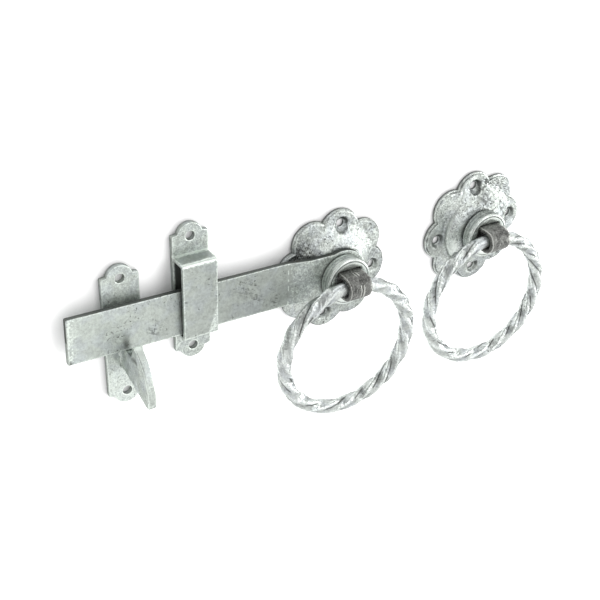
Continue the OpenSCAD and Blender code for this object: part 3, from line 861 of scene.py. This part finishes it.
BAR_LEN, BAR_HALF, BAR_RISE, BAR_TILT = 152.4, 12.5, 1.8, math.radians(1.3)
BAR_BACK, BEND_X, BEND_LEN, EYE_R = 6.1, 31.6, 13.0, 15.3
EYE_CELLS, SEAT_CELLS = 25, 20     # cells from the axis to the eye's edge and to its hole
SEAT_PLAY = 0.05
SPECKS = ((-57.5, 8, 4.5, 1), (-51, 0, 4, 1), (-108, -1, 4, 1), (-40, -6, 3, 1))   # speckled places


def crank_height(x):
    """Back of the bar: level, a slope and level again, averaged over 1.6 mm so that the bends are round."""
    knots = [-BEND_X, BEND_LEN - BEND_X]
    return sum(np.interp(x + d, knots, [BAR_BACK, HUB_BACK]) for d in np.linspace(-0.8, 0.8, 9)) / 9


def bar_surface(edge, seed):
    """Grid along the strip: rectangular as far as the eye, where rings of the grid number c turn
    into circles of radius c. Cells inside the seat's hole are left out, and the plan is lifted
    by crank_height and given its thickness along the surface's normal. The edges get wear and
    painted highlights, the free end is bright with wear, the bend gets a painted highlight line
    and the crank is painted lighter; the upper side is painted in shade, and there are dark
    specks, a dark lower corner at the free end and the hook lip's painted shadow."""
    eye = EYE_R - edge
    cells = np.arange(-EYE_CELLS, EYE_CELLS + 1) / EYE_CELLS
    a = np.concatenate([np.linspace((edge - BAR_LEN) / eye, -1, 230)[:-1], cells])
    a, b = np.meshgrid(a, cells, indexing="ij")
    in_eye = abs(a) <= 1
    x = a * eye
    round_part = np.sqrt(np.clip(eye ** 2 - x ** 2, 0, None)) * in_eye
    top = np.maximum(round_part, BAR_RISE + BAR_HALF - edge)
    low = np.minimum(-round_part, BAR_RISE - BAR_HALF + edge)
    strip = np.stack([x, (top + low) / 2 + b * (top - low) / 2], -1)
    c = np.maximum(abs(a), abs(b))
    hole_c = SEAT_CELLS / EYE_CELLS
    hole_r, flat = SEAT_R + SEAT_PLAY + edge, SEAT_HALF + SEAT_PLAY + edge
    reach = np.where(c < hole_c, c / hole_c * hole_r,
                     hole_r + (np.minimum(c, 1) - hole_c) / (1 - hole_c) * (eye - hole_r))
    disc = unit(np.stack([a, b], -1)) * reach[..., None]
    disc[..., 1] = np.where(np.isclose(c, hole_c), np.clip(disc[..., 1], -flat, flat), disc[..., 1])
    w = np.where(a >= 0, 1.0, np.clip((1 - c) / (1 - hole_c), 0, 1))[..., None]
    plan = np.where(in_eye[..., None], disc * w + strip * (1 - w), strip)
    cos, sin = math.cos(BAR_TILT), math.sin(BAR_TILT)
    px, py = plan[..., 0] * cos + plan[..., 1] * sin, plan[..., 1] * cos - plan[..., 0] * sin
    slope = (crank_height(px + 0.05) - crank_height(px - 0.05)) / 0.1
    rise = unit(front_view(-slope, 0, 1))
    under = front_view(px, py, crank_height(px))
    sag = uneven(under, seed, (0.06, 40), (0.03, 9)) * smooth((-px - 16) / 6)
    front = under + rise * (BAR_T + sag)[..., None]
    hole = np.maximum(abs(a[:-1, :-1] + a[1:, 1:]), abs(b[:-1, :-1] + b[1:, 1:])) / 2 < hole_c
    points, faces, wear_and_painted_light = thick(front, under, edge, ~hole)
    # Edges: wear and painted highlights, more on the lower edge
    side = np.where(b > 0, 0.3, 0.75) * np.exp(-(1 - abs(b)) * BAR_HALF / 0.6) * (a < -1)
    end = (0.95 + 0.9 * lumps(front, 1.4, seed + 3)) * np.exp(-(x + BAR_LEN) / 2.8)
    # Painted highlight line at the bend
    line = 1.1 * peak(px + BEND_X, 0.5) * smooth(0.9 + lumps(front, 6, seed + 2))
    # The crank is painted lighter
    crank = 0.42 * smooth((px + BEND_X) / 3)
    speck = smooth(1.5 * lumps(front, 1.7, seed + 4) - 0.2)
    # Painted shadow of the hook's lip, dark specks and a dark lower corner at the free end
    painted_shadow_and_specks = (peak(px + 123.2, 1.9) * peak(py + 4.5, 4.5) + speck * spots(px, py, SPECKS)
            + 1.8 * peak(x + BAR_LEN - 1, 1.5) * peak((b + 1) * BAR_HALF, 1.8))
    rubbed_and_painted_light = (np.maximum.reduce([side, end, line, crank]) - 0.9 * painted_shadow_and_specks).ravel()
    wear_and_painted_light[:rubbed_and_painted_light.size] = np.where(abs(rubbed_and_painted_light) > 0.02, rubbed_and_painted_light, wear_and_painted_light[:rubbed_and_painted_light.size])
    # The upper side is painted in shade
    upper = (wear_and_painted_light < 0) & (points[:, 1] > 5) & (np.arange(len(points)) >= 2 * rubbed_and_painted_light.size)
    wear_and_painted_light[upper] = -1.1
    return points, faces, wear_and_painted_light


class LATCH_OT_bar(bpy.types.Operator):
    """Make the cranked lift bar"""
    bl_idname = "latch.bar"
    bl_label = "Lift bar"

    def execute(self, context):
        make_piece("lift_bar", bar_surface(context.scene.latch_sizes.bar_edge * MM, 61), "strip_zinc",
                   "latch_spindle", "latch_bar", LATCH_AT)
        return {"FINISHED"}


# Keep and catch plates

EAR_R, EAR_HOLE_R, SHOULDER = 6.9, 2.4, 1.6
PLATE_HALF, PLATE_T = 9.75, 3.0
KEEP_AT, KEEP_MID, KEEP_PITCH = -84.3, 10.494, 62.4
BRIDGE_HALF, BRIDGE_T, BRIDGE_OUT, BRIDGE_BEND = 9.5, 1.8, 12.8, 2.4
LEG_OFF, LEG_TENON = 20.5, 5.0     # keep's middle to a leg's middle, and half a tenon's width
CATCH_AT, CATCH_PITCH = -121.6, 64.2
NOTCH_Y, CATCH_MID = -8.289, 4.7
CELL, EVEN_HALF = 0.475, 3.5       # grid step, and half the width over which columns keep it
WANDER = ((0.05, 12), (0.02, 4))   # unevenness of the faces, as (height, size)


def ear_rows(edge):
    """Distances from a screw hole to the rows towards the ear's tip: by angle round the tip,
    then even steps down to the hole."""
    tip = (EAR_R - edge) * np.cos(np.radians(np.linspace(0, 58, 9)))
    return np.concatenate([tip, tip[-1] * np.arange(6, -1, -1) / 7])


def ear_half(y, edge):
    """Half width at y from the hole: full width below the shoulder, the ear's circle above it, and
    a short slope between."""
    ear = np.sqrt(np.clip((EAR_R - edge) ** 2 - y * y, 0, None))
    return ear + (PLATE_HALF - edge - ear) * smooth((SHOULDER + 0.15 - edge - y) / 0.45)


def snapped(values, marks):
    """Values with the one nearest to each mark moved onto it."""
    values = values.copy()
    values[abs(values[:, None] - marks).argmin(0)] = marks
    return values


def plate_surface(pitch, mortises, edge, seed):
    """Flat plate with an ear and a screw hole at each end. Columns take even steps in the middle,
    so that a hole's cells stay square, and the rest draw in to the row's half width.
    A mortise (middle, half width, half height) leaves out the cells between its edges."""
    ear = ear_rows(edge)
    half = pitch / 2
    middle = np.linspace(-half, half, int(pitch / CELL) + 1)[1:-1]
    middle = snapped(middle, [m + side * high for m, _, high in mortises for side in (-1, 1)])
    y = np.concatenate([-half - ear, middle, half + ear[::-1]])
    u = snapped(np.linspace(-1, 1, 41) * (PLATE_HALF - edge), [-mortises[0][1], mortises[0][1]])
    wide = ear_half(abs(y) - half, edge)[:, None]
    plain = np.minimum(EVEN_HALF, 0.6 * wide)
    size = abs(u)[None]
    drawn = np.where(size <= EVEN_HALF, size * plain / EVEN_HALF,
                     plain + (wide - plain) * (size - EVEN_HALF) / (PLATE_HALF - edge - EVEN_HALF))
    drawn = np.sign(u)[None] * np.where(abs(y)[:, None] < half - 6, size, drawn)
    plan = np.stack([drawn, np.repeat(y[:, None], len(u), 1)], -1)
    kept = np.ones((len(y) - 1, len(u) - 1), bool)
    for row in (len(ear) - 1, len(y) - len(ear)):
        plan = drilled(plan, kept, row, len(u) // 2, EAR_HOLE_R + edge)
    row_at, column_at = (y[1:] + y[:-1]) / 2, (u[1:] + u[:-1]) / 2
    for m, across, high in mortises:
        kept[np.ix_(abs(row_at - m) < high, abs(column_at) < across)] = False
    front = raised(plan, PLATE_T)
    front[..., 2] += uneven(front, seed, *WANDER)
    # By thick's defaults the side walls are painted in shade and the corners lighter
    return thick(front, raised(plan, 0), edge, kept)


def keep_plate_surface(edge, seed):
    """Plate with a mortise for each leg, brightened by wear in front, with a painted highlight along
    the pool of zinc outside each leg and painted shade under the bridge."""
    mortises = [(side * LEG_OFF, LEG_TENON + FIT / 2, (BRIDGE_T + FIT) / 2) for side in (-1, 1)]
    points, faces, wear_and_painted_light = plate_surface(KEEP_PITCH, mortises, edge, seed)
    x, y, z = points.T
    wear_and_painted_light += 0.44 * (z > PLATE_T - 0.2)
    # Painted highlight along the pool of zinc outside each leg
    wear_and_painted_light = np.maximum(wear_and_painted_light, 1.15 * peak(abs(y) - LEG_OFF - BRIDGE_T / 2 - 0.4, 0.7) * (z > 2))
    # Painted shade under the bridge
    wear_and_painted_light[(abs(y) < LEG_OFF - 1) & (abs(x) < PLATE_HALF - 1) & (z > 1)] = -1.1
    return points, faces, wear_and_painted_light


def bridge_surface(edge, seed):
    """Strip along a path out of the plate, over the bar and back, round two bends. Its ends are narrow
    tenons, and past the plate the outer face swells into a fillet of zinc. The bends and the fillet
    get painted highlights, the edges and the walls wear and painted highlights, and the inner face
    painted shade."""
    leg, bend = BRIDGE_OUT - BRIDGE_BEND - FIT, BRIDGE_BEND * np.pi / 2
    wall = 2 * (LEG_OFF + BRIDGE_T / 2) - 2 * BRIDGE_BEND
    at, far = route((FIT, LEG_OFF + BRIDGE_T / 2), 0,
                    [(leg, 0), (bend, -90), (wall, 0), (bend, -90), (leg, 0)])
    root = PLATE_T - FIT
    half = np.concatenate([np.linspace(0, root - 0.01, 5), np.linspace(root, leg, 20),
                           leg + bend * np.arange(1, 9) / 8])
    s = np.concatenate([half, np.linspace(half[-1], far[-1] / 2, 40)[1:-1]])
    s = np.concatenate([s, [far[-1] / 2], far[-1] - s[::-1]])
    near = np.minimum(s, far[-1] - s)[:, None]
    outside = near > root - 0.005
    wide = np.where(outside, BRIDGE_HALF, LEG_TENON) - edge
    x = np.linspace(-1, 1, 41)[None] * wide
    z, y, nz, ny = (q[:, None] for q in at(s))
    normal = front_view(0 * x, ny, nz)
    front = front_view(x, y, z)
    bead = outside * np.exp(-np.clip(near - root, 0, None) / 0.7) * (0.55 + 0.2 * lumps(front, 3, seed + 2))
    swell = outside * (bead + uneven(front, seed, *WANDER))
    # The walls get painted highlights
    points, faces, wear_and_painted_light = thick(front + normal * swell[..., None], front - normal * BRIDGE_T, edge,
                                wall=0.5)
    # Painted highlights on the bends and the fillet, and wear and painted highlights on the edges
    bends = 1.1 * peak(near - leg - bend / 2, BRIDGE_BEND * 0.6) + np.minimum(bead * 5, 1.3)
    sides = 0.8 * np.exp(-(1 - abs(x / wide)) * BRIDGE_HALF / 0.6)
    corner = 0.6 * smooth((x - 9.7 - (y + 0.6) * 0.341) / 0.8) * (z > BRIDGE_OUT - 1)
    rubbed_and_painted_light = np.maximum.reduce([bends, sides, corner]).ravel()
    wear_and_painted_light[:x.size] = np.maximum(wear_and_painted_light[:x.size], rubbed_and_painted_light)
    # The inner face is painted in shade
    wear_and_painted_light[x.size:2 * x.size] = -1.1
    return points, faces, wear_and_painted_light


class LATCH_OT_keep(bpy.types.Operator):
    """Make the keep's plate and the bridge over the bar"""
    bl_idname = "latch.keep"
    bl_label = "Keep"

    def execute(self, context):
        edge = context.scene.latch_sizes.strip_edge * MM
        for name, node, surface in (("keep_back_plate", "keep_plate", keep_plate_surface(edge, 71)),
                                    ("keep_staple", "keep_bridge", bridge_surface(edge, 75))):
            make_piece(name, surface, "strip_zinc", "gate_fixings", node,
                       (KEEP_AT, KEEP_MID))
        return {"FINISHED"}


# Catch hook

HOOK_T, HOOK_REACH, HOOK_LIP, LIP_H, HOOK_EDGE = 4.0, 33.49, 18.8, 7.6, 0.7
NOSE_R, NOSE_DROP, LIP_R, NOTCH_R, ROOT_H, TENON_H = 2.6, 18.0, 1.25, 1.5, 12.6, 7.5
RAMP_BULGE = 0.16                  # rise of the ramp's arc over its chord
TENON_Y = -(ROOT_H + TENON_H) / 2  # foot of the tenon below the notch


def catch_plate_surface(edge, seed):
    """Plate with a mortise for the hook, brightened by wear in front, with painted light that grows towards
    its lower end.
    """
    mortise = (TENON_Y + TENON_H / 2 - CATCH_MID, (HOOK_T + FIT) / 2, (TENON_H + FIT) / 2)
    points, faces, wear_and_painted_light = plate_surface(CATCH_PITCH, [mortise], edge, seed)
    # Wear in front, and painted light growing towards the lower end
    wear_and_painted_light += (0.34 + 0.28 * smooth((-14 - points[:, 1]) / 8)) * (points[:, 2] > 2)
    return points, faces, wear_and_painted_light


def arc(c, r, a, b, n):
    """Points of an arc about c from angle a to b."""
    t = np.linspace(a, b, n)[:, None]
    return np.array(c) + r * np.concatenate([np.cos(t), np.sin(t)], 1)


def evenly(points, n):
    """n points evenly spaced along a broken line."""
    far = np.concatenate([[0], np.cumsum(np.linalg.norm(np.diff(points, axis=0), axis=1))])
    s = np.linspace(0, far[-1], n)
    return np.stack([np.interp(s, far, points[:, 0]), np.interp(s, far, points[:, 1])], -1)


def hook_outlines():
    """Outer edge of the tenon and hook, which runs under the root, round the nose and up the ramp, and
    the inner edge over the notch, as equally many points (z, y) each."""
    nose, lip = np.array([HOOK_REACH - NOSE_R, -NOSE_DROP]), np.array([HOOK_LIP, LIP_H - LIP_R])
    span = np.linalg.norm(lip - nose)
    rise = span * RAMP_BULGE
    ramp_r = (span ** 2 / 4 + rise ** 2) / 2 / rise
    away = np.array([lip[1] - nose[1], nose[0] - lip[0]]) / span
    middle = (lip + nose) / 2 - away * (ramp_r - rise)
    first, last = (math.atan2(*(end - middle)[::-1]) for end in (nose, lip))
    nose_start, notch_end, lip_start, lip_end = np.radians([-106, -20, 170, 130])
    ramp = arc(middle, ramp_r + np.linspace(NOSE_R, LIP_R, 60)[:, None], first, last, 60)[1:-1]
    under = np.concatenate([[[PLATE_T, -ROOT_H]], arc(nose, NOSE_R, nose_start, first, 16), ramp,
                            arc(lip, LIP_R, last, lip_end, 8)])
    over = np.concatenate([[[PLATE_T, 0]], arc([HOOK_LIP - 5, NOTCH_R], NOTCH_R, -np.pi / 2, notch_end, 8),
                           arc(lip, LIP_R, lip_start, lip_end, 5)])
    return [np.concatenate([[[FIT, foot]], evenly(np.array([[PLATE_T, foot], line[0]]), 6),
                            evenly(line, 150)[1:]])
            for foot, line in ((TENON_Y, under), (TENON_Y + TENON_H, over))]


def hook_surface(seed):
    """Ruled side faces between the hook's two outlines. The half thickness falls off as a quarter
    circle near the edges and swells into a weld at the plate. The edges get wear and painted
    highlights, the weld and the upper end of the ramp painted highlights, and the notch painted shade."""
    outer, inner = hook_outlines()
    width = np.linalg.norm(outer - inner, axis=1, keepdims=True)
    close = np.array([0, 0.06, 0.15, 0.3, 0.5, 0.75, 1.0]) * HOOK_EDGE
    reach = np.minimum(close / np.maximum(width, 1e-6), 0.5)
    between = reach[:, -1:] + (1 - 2 * reach[:, -1:]) * np.linspace(0, 1, 14)[1:-1]
    v = np.concatenate([reach, between, 1 - reach[:, ::-1]], 1)
    side = inner[:, None] * (1 - v)[..., None] + outer[:, None] * v[..., None]
    depth = np.minimum(v, 1 - v) * width
    fall = HOOK_EDGE * (1 - np.sqrt(1 - (1 - np.clip(depth / HOOK_EDGE, 0, 1)) ** 2))
    z, y = side[..., 0], side[..., 1]
    flat = front_view(0, y, z)
    bead = np.exp(-np.clip(z - PLATE_T, 0, None) / 0.9) * (z >= PLATE_T)
    ragged = 1 + 0.35 * lumps(flat, 3.5, seed)
    half = HOOK_T / 2 - fall * (z > PLATE_T) + 1.3 * bead * ragged * smooth((z - PLATE_T + 0.01) / 0.02)
    half = half + (0.05 * lumps(flat, 6, seed + 1)) * (z > PLATE_T)
    points, faces, wear_and_painted_light = thick(front_view(half, y, z), front_view(-half, y, z), 0)
    # Edges: wear and painted highlights
    rubbed_and_painted_light = (peak(depth - 0.4, 0.3) + 0.22 + 0.1 * lumps(flat, 9, seed + 2)) * (z > PLATE_T + 0.5)
    # Painted highlight on the weld, painted shade in the notch
    rubbed_and_painted_light += bead * 0.9 - 1.1 * peak(y, 1.6) * smooth((z - 9) / 3) * (v < 0.4)
    # Painted highlight on the upper end of the ramp
    rubbed_and_painted_light += (v > 0.5) * (depth < 0.02) * (z > HOOK_LIP - 4) * (smooth((y - 1) / 4) - 0.1)
    wear_and_painted_light[:2 * rubbed_and_painted_light.size] = np.tile(rubbed_and_painted_light.ravel(), 2)
    return points, faces, wear_and_painted_light


class LATCH_OT_catch(bpy.types.Operator):
    """Make the catch plate and its hook"""
    bl_idname = "latch.catch"
    bl_label = "Catch"

    def execute(self, context):
        plate = catch_plate_surface(context.scene.latch_sizes.strip_edge * MM, 81)
        for name, node, surface, y in (("catch_back_plate", "catch_plate", plate, NOTCH_Y + CATCH_MID),
                                       ("catch_ramp_hook", "catch_hook", hook_surface(87), NOTCH_Y)):
            make_piece(name, surface, "strip_zinc", "gate_fixings", node, (CATCH_AT, y))
        return {"FINISHED"}


class LATCH_OT_fittings(bpy.types.Operator):
    """Finish the washers, spindle and rivet behind the roses"""
    bl_idname = "latch.fittings"
    bl_label = "Washers and spindle"

    def execute(self, context):
        for node in ("latch_washer", "handle_washer", "handle_spindle", "spindle_rivet"):
            slots = frame["nodes"][node].data.materials
            slots.clear()
            slots.append(finish_named("dark_steel"))
        return {"FINISHED"}


# Stage, in metres

BRIGHT_SIDE = (0.50, -0.55, -0.67)     # where the room is brightest
OPEN_SIDE = (0.45, -0.6, -0.66)        # side from which the hardware's shadow is painted on the backdrop
SHADE_REACH, GLOW = 0.016, 0.75
BACKDROP_Y, BACKDROP_HALF = 0.0002, 3.0
TOUCHING, ROSE_DEPTH = 0.001, 0.012    # rays this short start at a back on the backdrop, or in a rose
CAMERA_AT = np.array([-283.1, -405.5, 273.8]) / MM
CAMERA_YAW, CAMERA_PITCH, CAMERA_ROLL = (math.radians(v) for v in (33.14, -30.84, 1.77))


def set_up(name, data, axes, spot):
    """Lamp or camera at spot, whose own x, y and z run along the axes."""
    thing = linked(name, data)
    thing.matrix_world = Matrix([[*row, p] for row, p in zip(np.stack(axes, 1), spot)] + [[0, 0, 0, 1]])
    return thing


def world_light(low, high):
    """Pale room: a soft rise from the dim upper left to the bright lower right in front."""
    world = bpy.data.worlds.new("studio_room")
    bpy.context.scene.world = world
    shop = Workshop(world)
    way = shop.add("TexCoord", output="Generated")
    lean = shop.add("VectorMath", {0: way, 1: BRIGHT_SIDE}, "Value", operation="DOT_PRODUCT")
    level = lean.above(-0.6, 0.95) * (high - low) + low
    room = shop.add("Background", {"Color": (1, 1, 1, 1), "Strength": level})
    shop.add("OutputWorld", {"Surface": room})


def soft_lamp(name, power, size, spot):
    """Square area lamp at spot that faces the latch's axis."""
    data = bpy.data.lights.new(name, "AREA")
    data.energy, data.size = power, size
    away = unit(np.array(spot))
    side = unit(np.cross([0, 0, 1], away))
    set_up(name, data, [side, np.cross(away, side), away], spot)


def backdrop(tone):
    """Pale face of the gate that the hardware lies against, a plane seen through from behind, by the
    backs that lie on it and by what is inside the roses, so that they get light. It glows a little
    to the eye, except where an ambient occlusion mask paints the hardware's shadow on it from the
    lower right."""
    mesh = bpy.data.meshes.new("backdrop")
    corners = [(-1, -1), (1, -1), (1, 1), (-1, 1)]
    mesh.from_pydata([(BACKDROP_HALF * x, BACKDROP_Y, BACKDROP_HALF * z) for x, z in corners], [],
                     [(0, 1, 2, 3)])
    material = bpy.data.materials.new("backdrop_paper")
    shop = Workshop(material)
    paper = shop.add("BsdfPrincipled", {"Base Color": (*tone, 1), "Roughness": 0.9,
                                        "Specular IOR Level": 0.0})
    camera, glossy, through, travelled = (shop.add("LightPath", output=name) for name in (
        "Is Camera Ray", "Is Glossy Ray", "Is Transmission Ray", "Ray Length"))
    seen = (camera + glossy + through).clamped()
    aim = shop.add("CombineXYZ", dict(zip("XYZ", OPEN_SIDE)))
    # Painted shadow: the glow is taken away where ambient occlusion towards OPEN_SIDE finds hardware
    open_sky = shop.add("AmbientOcclusion", {"Distance": SHADE_REACH, "Normal": aim}, "AO", samples=6)
    glow = shop.add("Emission", {"Color": seen * open_sky * open_sky, "Strength": GLOW})
    lit = shop.add("AddShader", {0: paper, 1: glow})
    spot = shop.add("TexCoord", output="Object")
    from_latch, from_handle = (
        shop.add("VectorMath", {0: spot, 1: (x / MM, 0, y / MM)}, "Value", operation="DISTANCE")
        for x, y in (LATCH_AT, HANDLE_AT))
    in_rose = ((from_latch.below(HOLLOW_R / MM) + from_handle.below(HOLLOW_R / MM))
               * travelled.below(ROSE_DEPTH))
    behind = shop.add("NewGeometry", output="Backfacing")
    unseen = (behind + travelled.below(TOUCHING) + in_rose).clamped()
    both = shop.add("MixShader", {0: unseen, 1: lit, 2: shop.add("BsdfTransparent")})
    shop.add("OutputMaterial", {"Surface": both})
    mesh.materials.append(material)
    plane = linked("backdrop", mesh)


def photo_camera(lens):
    """Camera at the photograph's angle, from its place, heading, pitch and roll."""
    level = math.cos(CAMERA_PITCH)
    ahead = np.array([math.sin(CAMERA_YAW) * level, math.cos(CAMERA_YAW) * level, math.sin(CAMERA_PITCH)])
    side = unit(np.cross(ahead, [0, 0, 1]))
    top = np.cross(side, ahead)
    cos, sin = math.cos(CAMERA_ROLL), math.sin(CAMERA_ROLL)
    axes = [side * cos + top * sin, top * cos - side * sin, -ahead]
    data = bpy.data.cameras.new("photo_view")
    data.lens, data.sensor_width = lens, 36
    data.clip_start, data.clip_end = 0.01, 20
    bpy.context.scene.camera = set_up("photo_view", data, axes, CAMERA_AT)


class LATCH_OT_stage(bpy.types.Operator):
    """Set up the backdrop, lights and camera"""
    bl_idname = "latch.stage"
    bl_label = "Stage"

    def execute(self, context):
        stage = context.scene.latch_stage
        context.scene.view_settings.view_transform = "Standard"
        world_light(stage.room_low, stage.room_high)
        soft_lamp("key_lamp", stage.key_power, 0.5, (1.2, -0.5, -0.15))
        soft_lamp("top_lamp", stage.top_power, 0.7, (0.45, -1.0, 0.65))
        backdrop(tuple(context.scene.latch_colours.backdrop))
        photo_camera(stage.lens)
        return {"FINISHED"}


STEPS = (LATCH_OT_stage, LATCH_OT_roses, LATCH_OT_hubs, LATCH_OT_straps, LATCH_OT_rings,
         LATCH_OT_bar, LATCH_OT_keep, LATCH_OT_catch, LATCH_OT_fittings)
GROUPS = {"latch_sizes": LatchSizes, "latch_colours": LatchColours, "latch_stage": LatchStage}


class LATCH_PT_panel(bpy.types.Panel):
    """Buttons that make the latch piece by piece"""
    bl_label = "Gate Latch"
    bl_idname = "LATCH_PT_panel"
    bl_space_type = "VIEW_3D"
    bl_region_type = "UI"
    bl_category = "Gate Latch"

    def draw(self, context):
        for step in STEPS:
            self.layout.operator(step.bl_idname)
        for name, group in GROUPS.items():
            box = self.layout.box()
            for key in group.__annotations__:
                box.prop(getattr(context.scene, name), key)


CLASSES = (*GROUPS.values(), *STEPS, LATCH_PT_panel)


def register():
    for item in CLASSES:
        bpy.utils.register_class(item)
    for name, group in GROUPS.items():
        setattr(bpy.types.Scene, name, PointerProperty(type=group))


def unregister():
    for name in GROUPS:
        delattr(bpy.types.Scene, name)
    for item in reversed(CLASSES):
        bpy.utils.unregister_class(item)


def main():
    """Registers the add-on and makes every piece."""
    register()
    for step in STEPS:
        getattr(bpy.ops.latch, step.bl_idname.split(".")[1])()


if __name__ == "__main__":
    main()
